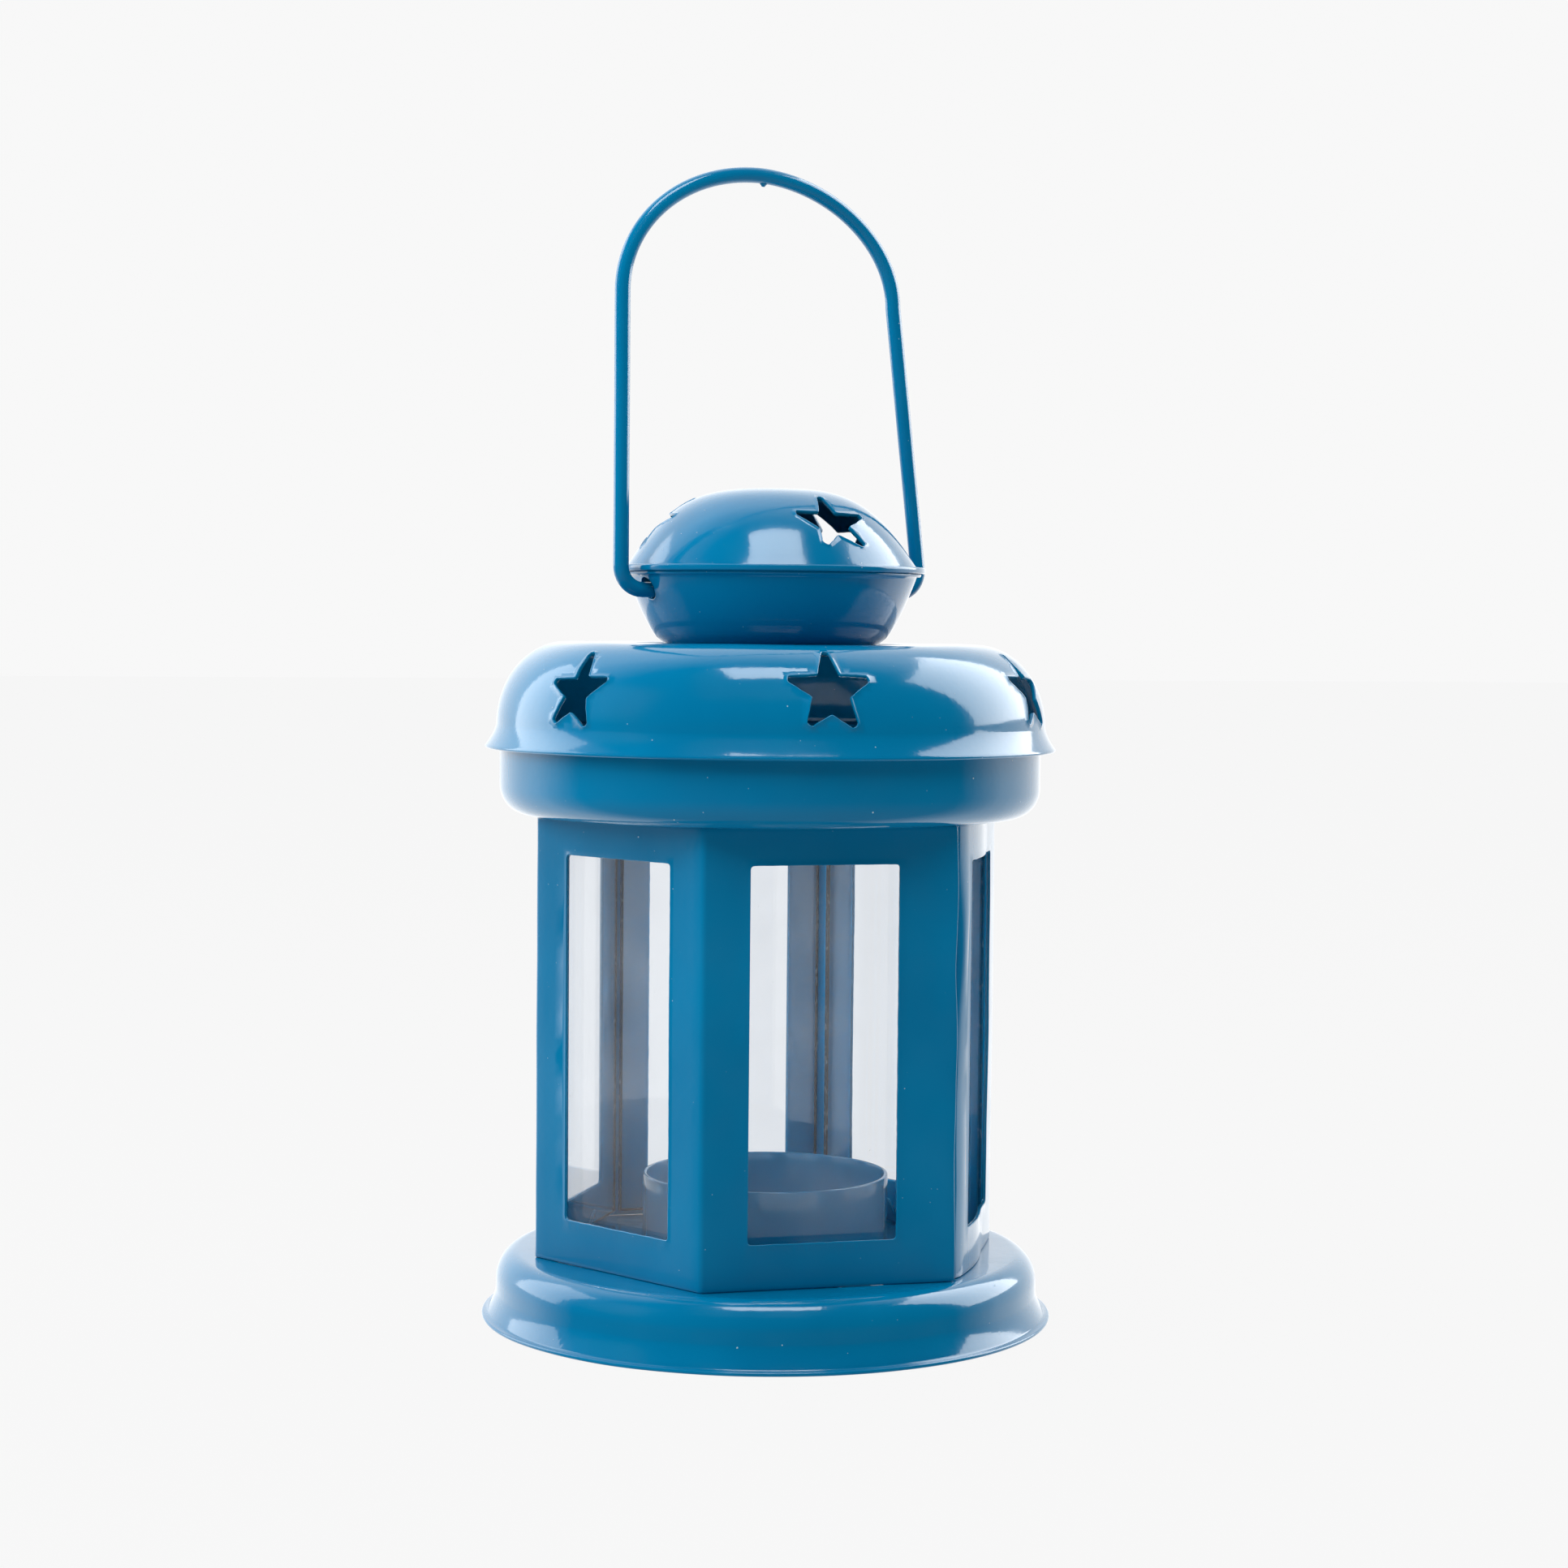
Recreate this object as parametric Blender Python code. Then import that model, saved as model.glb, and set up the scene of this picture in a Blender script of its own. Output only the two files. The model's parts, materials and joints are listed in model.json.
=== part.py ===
"""Hexagonal tea-light lantern in painted sheet steel, with a swinging wire bail.

Metres, +Z up. The origin is the centre of the base on the surface it stands on, and one window
faces -Y. The base with its candle cup stays put; everything above it lifts straight off; the bail
swings about the pin holes in the finial bowl. Azimuths are degrees from -Y towards +X.
"""

import math

import bmesh
import bpy
from mathutils import Matrix, Vector

MM = 0.001

# Sheet, wire and clearances
SHEET = 0.7 * MM
TAB_SHEET = 0.5 * MM
GLASS = 2.0 * MM
WIRE_RADIUS = 1.35 * MM
GAP = 0.3 * MM
RIVET_PLAY = 0.3 * MM
PIVOT_PLAY = 0.7 * MM

# Hexagonal window frame
FRAME_RADIUS = 41.65 * MM
FRAME_HEIGHT = 76.3 * MM
WINDOW_MARGIN = 8.0 * MM
WINDOW_SILL = 7.4 * MM
WINDOW_HEAD = 6.1 * MM
BEND_RADIUS = 1.1 * MM
LAP_WIDTH = 7.0 * MM
FLAP_LENGTH = 2.4 * MM
PANE_EDGE = 0.65 * MM
PRONG_WIDTH = 3.4 * MM
PRONG_HEIGHT = 4.3 * MM
PRONG_LEAN = 1.4 * MM
TOP_TAB_WIDTH = 8.0 * MM
TOP_TAB_REACH = 3.0 * MM
LOCK_TAB_WIDTH = 5.0 * MM
LOCK_TAB_REACH = 2.0 * MM
LOCK_TAB_OFFSET = 6.0 * MM
LOCK_TURN = 12.0
LOCK_PLAY = 0.4 * MM

# Base dish
BASE_HEIGHT = 11.4 * MM
BASE_DECK_MARGIN = 1.95 * MM
BASE_SHOULDER_WIDTH = 4.0 * MM
BASE_SHOULDER_DEPTH = 5.0 * MM
BASE_FLANGE = 2.5 * MM
BASE_RIM = 1.0 * MM
BASE_FLARE_HEIGHT = 4.0 * MM
FLARE_POWER = 1.4

# Candle cup, and the rivet that holds it in a dimple so that a candle stands flat
CUP_RADIUS = 21.2 * MM
CUP_HEIGHT = 13.3 * MM
CUP_CORNER = 1.6 * MM
RIVET_RADIUS = 2.2 * MM
RIVET_HEAD_RADIUS = 4.0 * MM
RIVET_HEAD = 0.6 * MM
RIVET_DIMPLE = 1.0 * MM
DIMPLE_MARGIN = 1.0 * MM
DIMPLE_SLOPE = 2.0 * MM

# Collar pan and roof
COLLAR_MARGIN = 1.1 * MM
COLLAR_CORNER_WIDTH = 4.6 * MM
COLLAR_CORNER_DEPTH = 5.0 * MM
COLLAR_HEIGHT = 14.6 * MM
COLLAR_LIP_DEPTH = 3.0 * MM
COLLAR_LIP_BEND = 1.2 * MM
ROOF_HEIGHT = 18.0 * MM
ROOF_OVERLAP = 2.7 * MM
ROOF_SEAT = 0.65 * MM
ROOF_FLARE = 2.15 * MM
ROOF_FLARE_HEIGHT = 3.8 * MM
ROOF_SHOULDER_WIDTH = 12.0 * MM
ROOF_SHOULDER_DEPTH = 14.2 * MM
ROOF_RECESS_DEPTH = 0.5 * MM
ROOF_RECESS_MARGIN = 5.0 * MM
ROOF_RECESS_STEP = 1.2 * MM
ROOF_STAR_RADIUS = 7.0 * MM
ROOF_STAR_HEIGHT = 9.9 * MM
ROOF_STAR_AZIMUTHS = (-58, -3.3, 54, 118, 179, -121)

# Finial bowl and dome, and the hollow rivet under them
BOWL_FOOT_RADIUS = 18.6 * MM
BOWL_RIM_RADIUS = 25.4 * MM
BOWL_HEIGHT = 11.9 * MM
BOWL_POWER = 0.65
BOWL_FLANGE = 0.9 * MM
DOME_HEIGHT = 14.3 * MM
DOME_LIP = 1.5 * MM
DOME_WIDTH_POWER = 0.606
DOME_RISE_POWER = 2.174
DOME_STAR_RADIUS = 6.6 * MM
DOME_STAR_DROP = 5.6 * MM
DOME_STAR_AZIMUTHS = (18.7, 138.7, -101.3)
EYELET_RADIUS = 8.0 * MM
EYELET_FLANGE = 2.2 * MM

# Bail
PIVOT_AZIMUTH = 105.0
PIVOT_DROP = 2.6 * MM
BAIL_CLEARANCE = 1.5 * MM
BAIL_BEND = 4.0 * MM
BAIL_PIN_REACH = 2.2 * MM
BAIL_SPRING_HEIGHT = 50.7 * MM
BAIL_CROWN_HEIGHT = 21.3 * MM
BAIL_CROWN_SHIFT = -3.5 * MM
BAIL_SPLAY = 0.5 * MM
BAIL_LEAN = 5.3 * MM
BAIL_CROWN_POWER = 1.05

# Facets around a full turn
ROUND = 40
ROUND_SMALL = 24

# Radii and depths that follow from the sizes above
PANEL_WIDTH = FRAME_RADIUS
APOTHEM = FRAME_RADIUS * math.cos(math.radians(30))
WALL_DEPTH = APOTHEM - SHEET / 2
SEAM_STEP = SHEET + GAP
PANE_DEPTH = APOTHEM - SHEET - GAP
FRONT_PANE_INNER = PANE_DEPTH - SEAM_STEP - GLASS
PANE_WIDTH = 2 * ((PANE_DEPTH - GLASS) * math.tan(math.radians(30)) - PANE_EDGE)
BASE_WALL_RADIUS = FRAME_RADIUS + BASE_DECK_MARGIN + BASE_SHOULDER_WIDTH
COLLAR_RADIUS = FRAME_RADIUS + COLLAR_MARGIN + COLLAR_CORNER_WIDTH
COLLAR_LIP_RADIUS = FRONT_PANE_INNER - GAP
ROOF_WALL_RADIUS = COLLAR_RADIUS + ROOF_SEAT
RIVET_HOLE = RIVET_RADIUS + RIVET_PLAY
DIMPLE_RADIUS = RIVET_HEAD_RADIUS + DIMPLE_MARGIN
EYELET_HOLE = EYELET_RADIUS + RIVET_PLAY
DOME_RADIUS = BOWL_RIM_RADIUS
DOME_LIP_RADIUS = DOME_RADIUS + DOME_LIP

# Heights that follow, each piece standing on the one below
FRAME_Z = BASE_HEIGHT + GAP
CUP_Z = BASE_HEIGHT + GAP
COLLAR_Z = FRAME_Z + FRAME_HEIGHT + GAP
ROOF_Z = COLLAR_Z + COLLAR_HEIGHT - ROOF_OVERLAP
ROOF_RECESS_Z = ROOF_Z + ROOF_HEIGHT - ROOF_RECESS_DEPTH
BOWL_Z = ROOF_RECESS_Z + GAP
DOME_Z = BOWL_Z + BOWL_HEIGHT + SHEET + GAP
PIVOT_Z = BOWL_Z + BOWL_HEIGHT - PIVOT_DROP

FRONT_AZIMUTH = 0
PANEL_AZIMUTHS = (FRONT_AZIMUTH, 60, 120, 180, -120, -60)
LOCK_AZIMUTHS = (0, 120, -120)


# Outlines ------------------------------------------------------------------------------------


def arc(centre, radius_x, radius_y, start, stop, steps):
    """Points of an elliptical arc from start to stop degrees."""
    points = []
    for i in range(steps + 1):
        angle = math.radians(start + (stop - start) * i / steps)
        points.append((centre[0] + radius_x * math.cos(angle), centre[1] + radius_y * math.sin(angle)))
    return points


def flare(lip, wall, low, high, steps=4):
    """A skirt that sweeps in from its lip to the wall, steeper as it rises."""
    points = []
    for i in range(steps + 1):
        t = i / steps
        points.append((wall + (lip - wall) * (1 - t) ** FLARE_POWER, low + (high - low) * t))
    return points


def offset_line(points, distance):
    """The line moved to its left by a distance, with mitred corners."""
    line = [Vector(p) for p in points]
    normals = []
    for a, b in zip(line, line[1:]):
        along = (b - a).normalized()
        normals.append(Vector((-along.y, along.x)))
    moved = []
    for i, point in enumerate(line):
        before = normals[max(i - 1, 0)]
        after = normals[min(i, len(normals) - 1)]
        mitre = (before + after).normalized()
        moved.append(tuple(point + mitre * (distance / mitre.dot(after))))
    return moved


def sheet_section(points):
    """Closed section of sheet whose outer face follows the points, with the metal on their left."""
    return points + offset_line(points, SHEET)[::-1]


def star_outline(radius):
    """A five-pointed star, one point up, with blunt tips and full arms."""
    points = []
    for k in range(5):
        tip = math.radians(90 + 72 * k)
        for swing, reach in ((-4, 0.95), (0, 1.0), (4, 0.95)):
            angle = tip + math.radians(swing)
            points.append((radius * reach * math.cos(angle), radius * reach * math.sin(angle)))
        notch = tip + math.radians(36)
        points.append((0.43 * radius * math.cos(notch), 0.43 * radius * math.sin(notch)))
    return points


def panel_place(azimuth, depth, along=0.0, height=0.0):
    """A point on the panel of this azimuth: depth from the axis, along to its right, and height."""
    angle = math.radians(azimuth)
    outward = Vector((math.sin(angle), -math.cos(angle), 0))
    right = Vector((math.cos(angle), math.sin(angle), 0))
    return outward * depth + right * along + Vector((0, 0, height))


# Objects -------------------------------------------------------------------------------------


def clear_scene():
    for item in list(bpy.data.objects):
        bpy.data.objects.remove(item)


def material(name, colour, metallic=0.0, roughness=0.25, alpha=1.0):
    made = bpy.data.materials.new(name)
    made.use_nodes = True
    shader = made.node_tree.nodes["Principled BSDF"]
    shader.inputs["Base Color"].default_value = (*colour, 1.0)
    shader.inputs["Metallic"].default_value = metallic
    shader.inputs["Roughness"].default_value = roughness
    shader.inputs["Alpha"].default_value = alpha
    return made


def paint(name):
    return material(name, (0.005, 0.150, 0.300))


def add_object(name, bm, finish, location=(0, 0, 0), smooth=True):
    """Link a mesh as a named object, closed and facing outwards."""
    bmesh.ops.recalc_face_normals(bm, faces=bm.faces)
    mesh = bpy.data.meshes.new(name)
    bm.to_mesh(mesh)
    bm.free()
    if smooth:
        mesh.shade_smooth()
        mesh.set_sharp_from_angle(angle=math.radians(35))
    if finish:
        mesh.materials.append(finish)
    made = bpy.data.objects.new(name, mesh)
    made.location = location
    bpy.context.scene.collection.objects.link(made)
    return made


def turned(name, outline, finish, height, closed=True, facets=ROUND):
    """Spin an (r, z) outline about Z. An open outline starts and ends on the axis."""
    bm = bmesh.new()
    verts = [bm.verts.new((r, 0, z)) for r, z in outline]
    edges = [bm.edges.new(pair) for pair in zip(verts, verts[1:])]
    if closed:
        edges.append(bm.edges.new((verts[-1], verts[0])))
    bmesh.ops.spin(bm, geom=verts + edges, cent=(0, 0, 0), axis=(0, 0, 1), dvec=(0, 0, 0),
                   angle=2 * math.pi, steps=facets, use_merge=True)
    bmesh.ops.remove_doubles(bm, verts=bm.verts, dist=0.001 * MM)
    return add_object(name, bm, finish, (0, 0, height))


def add_prism(bm, outline, low, high, place=Matrix()):
    """Extrude an outline in the XY plane from low to high, then move it by a matrix."""
    bottom = [bm.verts.new(place @ Vector((x, y, low))) for x, y in outline]
    top = [bm.verts.new(place @ Vector((x, y, high))) for x, y in outline]
    bm.faces.new(bottom[::-1])
    bm.faces.new(top)
    for i in range(len(outline)):
        j = (i + 1) % len(outline)
        bm.faces.new((bottom[i], bottom[j], top[j], top[i]))


def add_strap(bm, azimuth, along, path, widths):
    """A bent strap of tab sheet: path holds (depth, height) points and widths its width at each."""
    half = TAB_SHEET / 2
    left = offset_line(path, half)
    right = offset_line(path, -half)
    rings = []
    for inner, outer, width in zip(left, right, widths):
        ring = []
        for (depth, height), side in ((inner, -1), (inner, 1), (outer, 1), (outer, -1)):
            ring.append(bm.verts.new(panel_place(azimuth, depth, along + side * width / 2, height)))
        rings.append(ring)
    bm.faces.new(rings[0])
    bm.faces.new(rings[-1][::-1])
    for a, b in zip(rings, rings[1:]):
        for i in range(4):
            j = (i + 1) % 4
            bm.faces.new((a[i], a[j], b[j], b[i]))


def box_outline(x0, x1, y0, y1):
    return [(x0, y0), (x1, y0), (x1, y1), (x0, y1)]


def combine(target, bm, name, operation):
    """Join or cut a helper mesh by a Boolean, and keep the helper out of the finished part."""
    helper = add_object(name, bm, None, target.location, smooth=False)
    helper.hide_render = True
    helper.display_type = "WIRE"
    modifier = target.modifiers.new(name, "BOOLEAN")
    modifier.operation = operation
    modifier.solver = "EXACT"
    modifier.object = helper
    return helper


# Base ----------------------------------------------------------------------------------------


def dimple_line():
    """The dimple around the rivet, from its hole out to the flat sheet at height 0."""
    return [
        (RIVET_HOLE, -RIVET_DIMPLE),
        (DIMPLE_RADIUS, -RIVET_DIMPLE),
        (DIMPLE_RADIUS + DIMPLE_SLOPE, 0),
    ]


def base_outline():
    lip = BASE_WALL_RADIUS + BASE_FLANGE
    flat = BASE_WALL_RADIUS - BASE_SHOULDER_WIDTH
    spring = BASE_HEIGHT - BASE_SHOULDER_DEPTH
    line = [(lip, SHEET)]
    line += flare(lip - BASE_RIM, BASE_WALL_RADIUS, SHEET, BASE_FLARE_HEIGHT + SHEET)
    line += arc((flat, spring), BASE_SHOULDER_WIDTH, BASE_SHOULDER_DEPTH, 0, 90, 4)
    line += [(r, BASE_HEIGHT + z) for r, z in dimple_line()[::-1]]
    return sheet_section(line)


def lock_slot_outline():
    """A keyhole: wide where a tab's foot drops in, then narrow along the turn that locks it."""
    near = LOCK_TAB_OFFSET - LOCK_TAB_WIDTH / 2 - LOCK_PLAY
    far = LOCK_TAB_OFFSET + LOCK_TAB_WIDTH / 2 + LOCK_PLAY
    inner = WALL_DEPTH - TAB_SHEET / 2 - LOCK_PLAY
    outer = WALL_DEPTH + TAB_SHEET / 2 + LOCK_PLAY
    foot = WALL_DEPTH - LOCK_TAB_REACH - LOCK_PLAY
    wide = math.hypot(far, outer)
    tight = math.hypot(near, inner)
    start_wide = -math.degrees(math.acos(far / wide))
    start_tight = -math.degrees(math.acos(far / tight))
    outline = [(near, -foot), (near, -outer)]
    outline += arc((0, 0), wide, wide, start_wide, start_wide + LOCK_TURN, 4)
    outline += arc((0, 0), tight, tight, start_tight + LOCK_TURN, start_tight, 4)
    outline.append((far, -foot))
    return outline


def make_base():
    shell = turned("base_shell", base_outline(), paint("base_paint"), 0)
    slots = bmesh.new()
    for azimuth in LOCK_AZIMUTHS:
        turn = Matrix.Rotation(math.radians(azimuth), 4, "Z")
        add_prism(slots, lock_slot_outline(), BASE_HEIGHT - 2 * SHEET, BASE_HEIGHT + SHEET, turn)
    combine(shell, slots, "lock_slots", "DIFFERENCE")


def make_cup():
    floor_edge = CUP_RADIUS - CUP_CORNER
    line = dimple_line()
    line += arc((floor_edge, CUP_CORNER), CUP_CORNER, CUP_CORNER, -90, 0, 3)
    line.append((CUP_RADIUS, CUP_HEIGHT))
    turned("candle_cup", sheet_section(line), paint("cup_paint"), CUP_Z)


def make_cup_rivet():
    """A flat-headed rivet through the deck and the cup floor, spread underneath."""
    top = CUP_Z - RIVET_DIMPLE + SHEET + GAP
    bottom = BASE_HEIGHT - RIVET_DIMPLE - SHEET - GAP
    grip = top - bottom
    line = [
        (0, grip + RIVET_HEAD),
        (0.7 * RIVET_HEAD_RADIUS, grip + RIVET_HEAD),
        (RIVET_HEAD_RADIUS, grip + RIVET_HEAD / 2),
        (RIVET_HEAD_RADIUS, grip),
        (RIVET_RADIUS, grip),
        (RIVET_RADIUS, 0),
        (RIVET_HEAD_RADIUS, 0),
        (RIVET_HEAD_RADIUS, -RIVET_HEAD / 2),
        (0.7 * RIVET_HEAD_RADIUS, -RIVET_HEAD),
        (0, -RIVET_HEAD),
    ]
    steel = material("rivet_steel", (0.55, 0.56, 0.58), 1.0, 0.35)
    turned("cup_rivet", line, steel, bottom, closed=False, facets=ROUND_SMALL)


# Window frame --------------------------------------------------------------------------------


def bend_line(points, radius, steps=3):
    """Replace each inner corner of a line by an arc of the given radius."""
    line = [Vector(p) for p in points]
    bent = [tuple(line[0])]
    for before, corner, after in zip(line, line[1:], line[2:]):
        come = (before - corner).normalized()
        leave = (after - corner).normalized()
        half = come.angle(leave) / 2
        reach = radius / math.tan(half)
        centre = corner + (come + leave).normalized() * (radius / math.sin(half))
        start = corner + come * reach - centre
        stop = corner + leave * reach - centre
        sweep = start.angle_signed(stop)
        for i in range(steps + 1):
            turn = Matrix.Rotation(-sweep * i / steps, 2)
            bent.append(tuple(centre + turn @ start))
    bent.append(tuple(line[-1]))
    return bent


def frame_line():
    """Outer face of the folded strip, from the hidden lap round to the flap that covers it."""
    corner_x = PANEL_WIDTH / 2
    lap_y = -(APOTHEM - SEAM_STEP)
    lap_x = corner_x + SEAM_STEP / math.tan(math.radians(60))
    line = [(lap_x - LAP_WIDTH, lap_y), (lap_x, lap_y)]
    for azimuth in (90, 150, -150, -90, -30):
        corner = panel_place(azimuth, FRAME_RADIUS)
        line.append((corner.x, corner.y))
    line.append((corner_x + FLAP_LENGTH, -APOTHEM))
    return bend_line(line, BEND_RADIUS)


def window_cutters():
    half = PANEL_WIDTH / 2 - WINDOW_MARGIN
    cutters = bmesh.new()
    for azimuth in PANEL_AZIMUTHS:
        turn = Matrix.Rotation(math.radians(azimuth), 4, "Z")
        hole = box_outline(-half, half, -APOTHEM - SHEET, -APOTHEM + 2 * SHEET)
        add_prism(cutters, hole, WINDOW_SILL, FRAME_HEIGHT - WINDOW_HEAD, turn)
    return cutters


def add_prong(bm, azimuth, pane_depth):
    """A pointed prong folded under the pane and up behind it, leaning away from the glass."""
    floor = TAB_SHEET / 2 + 0.1 * MM
    back = pane_depth - GLASS - GAP - TAB_SHEET / 2
    path = [(WALL_DEPTH, floor), (back, floor)]
    path.append((back - 0.55 * PRONG_LEAN, floor + 0.55 * PRONG_HEIGHT))
    path.append((back - PRONG_LEAN, floor + PRONG_HEIGHT))
    widths = [PRONG_WIDTH, PRONG_WIDTH, 0.8 * PRONG_WIDTH, 0.2 * PRONG_WIDTH]
    add_strap(bm, azimuth, 0, path, widths)


def add_top_tab(bm, azimuth):
    """A tab through the collar floor, folded in over it."""
    fold = FRAME_HEIGHT + 2 * GAP + SHEET + TAB_SHEET / 2
    path = [(WALL_DEPTH, FRAME_HEIGHT - 2 * MM), (WALL_DEPTH, fold), (WALL_DEPTH - TOP_TAB_REACH, fold)]
    add_strap(bm, azimuth, 0, path, [TOP_TAB_WIDTH] * 3)


def add_lock_tab(bm, azimuth):
    """A tab through the keyhole in the base deck, with a foot turned in under it."""
    foot = -(2 * GAP + SHEET + TAB_SHEET / 2)
    path = [(WALL_DEPTH, 2 * MM), (WALL_DEPTH, foot), (WALL_DEPTH - LOCK_TAB_REACH, foot)]
    add_strap(bm, azimuth, LOCK_TAB_OFFSET, path, [LOCK_TAB_WIDTH] * 3)


def seam_welds():
    """Spot welds that hold the lap to the front panel."""
    welds = bmesh.new()
    spots = 4
    pitch = FRAME_HEIGHT / spots
    across = PANEL_WIDTH / 2 - LAP_WIDTH / 2 + 1.0 * MM
    for i in range(spots):
        place = Matrix.Translation((across, -APOTHEM + SHEET + GAP / 2, (i + 0.5) * pitch))
        turn = Matrix.Rotation(math.pi / 2, 4, "X")
        dot = [(1.2 * MM * math.cos(a), 1.2 * MM * math.sin(a)) for a in (k * math.pi / 4 for k in range(8))]
        add_prism(welds, dot, -GAP / 2 - SHEET / 3, GAP / 2 + SHEET / 3, place @ turn)
    return welds


def make_frame():
    strip = bmesh.new()
    add_prism(strip, sheet_section(frame_line()), 0, FRAME_HEIGHT)
    frame = add_object("window_frame", strip, paint("frame_paint"), (0, 0, FRAME_Z))
    combine(frame, window_cutters(), "window_cutters", "DIFFERENCE")
    tabs = bmesh.new()
    for azimuth in PANEL_AZIMUTHS:
        step = SEAM_STEP if azimuth == FRONT_AZIMUTH else 0
        add_prong(tabs, azimuth, PANE_DEPTH - step)
        add_top_tab(tabs, azimuth)
    for azimuth in LOCK_AZIMUTHS:
        add_lock_tab(tabs, azimuth)
    combine(frame, tabs, "frame_tabs", "UNION")
    combine(frame, seam_welds(), "seam_welds", "UNION")
    return frame


def make_panes():
    """Six equal panes standing on the prongs; the front one sits behind the lap."""
    glass = material("clear_glass", (0.82, 0.88, 0.93), 0.0, 0.03, 0.25)
    low = TAB_SHEET + 0.1 * MM + GAP
    panes = []
    for k, azimuth in enumerate(PANEL_AZIMUTHS):
        depth = PANE_DEPTH - (SEAM_STEP if azimuth == FRONT_AZIMUTH else 0)
        bm = bmesh.new()
        half = PANE_WIDTH / 2
        add_prism(bm, box_outline(-half, half, 0, GLASS), 0, FRAME_HEIGHT - GAP - low)
        place = panel_place(azimuth, depth, 0, FRAME_Z + low)
        pane = add_object(f"glass_pane_{k + 1}", bm, glass, place, smooth=False)
        pane.rotation_euler.z = math.radians(azimuth)
        panes.append(pane)
    return panes


# Collar and roof -----------------------------------------------------------------------------


def make_collar():
    flat = COLLAR_RADIUS - COLLAR_CORNER_WIDTH
    lip = COLLAR_LIP_RADIUS
    bend = COLLAR_LIP_BEND
    line = [(lip, -COLLAR_LIP_DEPTH)]
    line += arc((lip + bend, -bend), bend, bend, 180, 90, 2)
    line += arc((flat, COLLAR_CORNER_DEPTH), COLLAR_CORNER_WIDTH, COLLAR_CORNER_DEPTH, -90, 0, 4)
    line.append((COLLAR_RADIUS, COLLAR_HEIGHT))
    collar = turned("roof_collar", sheet_section(line), paint("collar_paint"), COLLAR_Z)
    half = TOP_TAB_WIDTH / 2 + LOCK_PLAY
    reach = TAB_SHEET / 2 + GAP
    slots = bmesh.new()
    for azimuth in PANEL_AZIMUTHS:
        turn = Matrix.Rotation(math.radians(azimuth), 4, "Z")
        slot = box_outline(-half, half, -WALL_DEPTH - reach, -WALL_DEPTH + reach)
        add_prism(slots, slot, -SHEET, 2 * SHEET, turn)
    combine(collar, slots, "tab_slots", "DIFFERENCE")
    return collar


def roof_outline():
    flat = ROOF_WALL_RADIUS - ROOF_SHOULDER_WIDTH
    spring = ROOF_HEIGHT - ROOF_SHOULDER_DEPTH
    recess = BOWL_FOOT_RADIUS + ROOF_RECESS_MARGIN
    low = ROOF_HEIGHT - ROOF_RECESS_DEPTH
    line = flare(ROOF_WALL_RADIUS + ROOF_FLARE, ROOF_WALL_RADIUS, 0, ROOF_FLARE_HEIGHT)[:-1]
    line += arc((flat, spring), ROOF_SHOULDER_WIDTH, ROOF_SHOULDER_DEPTH, 0, 90, 7)
    line += [(recess + ROOF_RECESS_STEP, ROOF_HEIGHT), (recess, low), (EYELET_HOLE, low)]
    return sheet_section(line)


def cut_stars(target, name, radius, places, depth):
    """Punch stars: each place is a centre and the direction that the punch comes from."""
    stars = bmesh.new()
    for centre, towards in places:
        normal = towards.normalized()
        right = Vector((0, 0, 1)).cross(normal).normalized()
        up = normal.cross(right)
        turn = Matrix((right, up, normal)).transposed().to_4x4()
        add_prism(stars, star_outline(radius), -depth, depth, Matrix.Translation(centre) @ turn)
    combine(target, stars, name, "DIFFERENCE")


def make_roof():
    roof = turned("roof_shell", roof_outline(), paint("roof_paint"), ROOF_Z)
    places = []
    for azimuth in ROOF_STAR_AZIMUTHS:
        centre = panel_place(azimuth, ROOF_WALL_RADIUS, 0, ROOF_STAR_HEIGHT)
        places.append((centre, panel_place(azimuth, 1)))
    cut_stars(roof, "roof_stars", ROOF_STAR_RADIUS, places, ROOF_SHOULDER_WIDTH)
    return roof


# Finial --------------------------------------------------------------------------------------


def make_eyelet():
    """A hollow rivet that joins the bowl to the roof and lets the hot air through."""
    low = ROOF_RECESS_Z - SHEET - GAP
    grip = BOWL_Z + SHEET + GAP - low
    wide = EYELET_RADIUS + EYELET_FLANGE
    bore = EYELET_RADIUS - SHEET
    line = [
        (bore, -SHEET),
        (wide, -SHEET),
        (wide, 0),
        (EYELET_RADIUS, 0),
        (EYELET_RADIUS, grip),
        (wide, grip),
        (wide, grip + SHEET),
        (bore, grip + SHEET),
    ]
    steel = material("eyelet_steel", (0.55, 0.56, 0.58), 1.0, 0.35)
    return turned("chimney_eyelet", line, steel, low, facets=ROUND_SMALL)


def make_bowl():
    line = [(EYELET_HOLE, 0)]
    steps = 6
    for i in range(steps + 1):
        t = i / steps
        radius = BOWL_FOOT_RADIUS + (BOWL_RIM_RADIUS - BOWL_FOOT_RADIUS) * t ** BOWL_POWER
        line.append((radius, BOWL_HEIGHT * t))
    line.append((BOWL_RIM_RADIUS + BOWL_FLANGE, BOWL_HEIGHT))
    bowl = turned("finial_bowl", sheet_section(line), paint("bowl_paint"), BOWL_Z)
    place = Matrix.Translation((0, 0, PIVOT_Z - BOWL_Z))
    place = place @ Matrix.Rotation(math.radians(PIVOT_AZIMUTH), 4, "Z") @ Matrix.Rotation(math.pi / 2, 4, "X")
    radius = WIRE_RADIUS + PIVOT_PLAY
    hole = [(radius * math.cos(a), radius * math.sin(a)) for a in (k * math.pi / 6 for k in range(12))]
    reach = BOWL_RIM_RADIUS + BOWL_FLANGE
    holes = bmesh.new()
    add_prism(holes, hole, -reach, reach, place)
    combine(bowl, holes, "pivot_holes", "DIFFERENCE")
    return bowl


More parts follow.
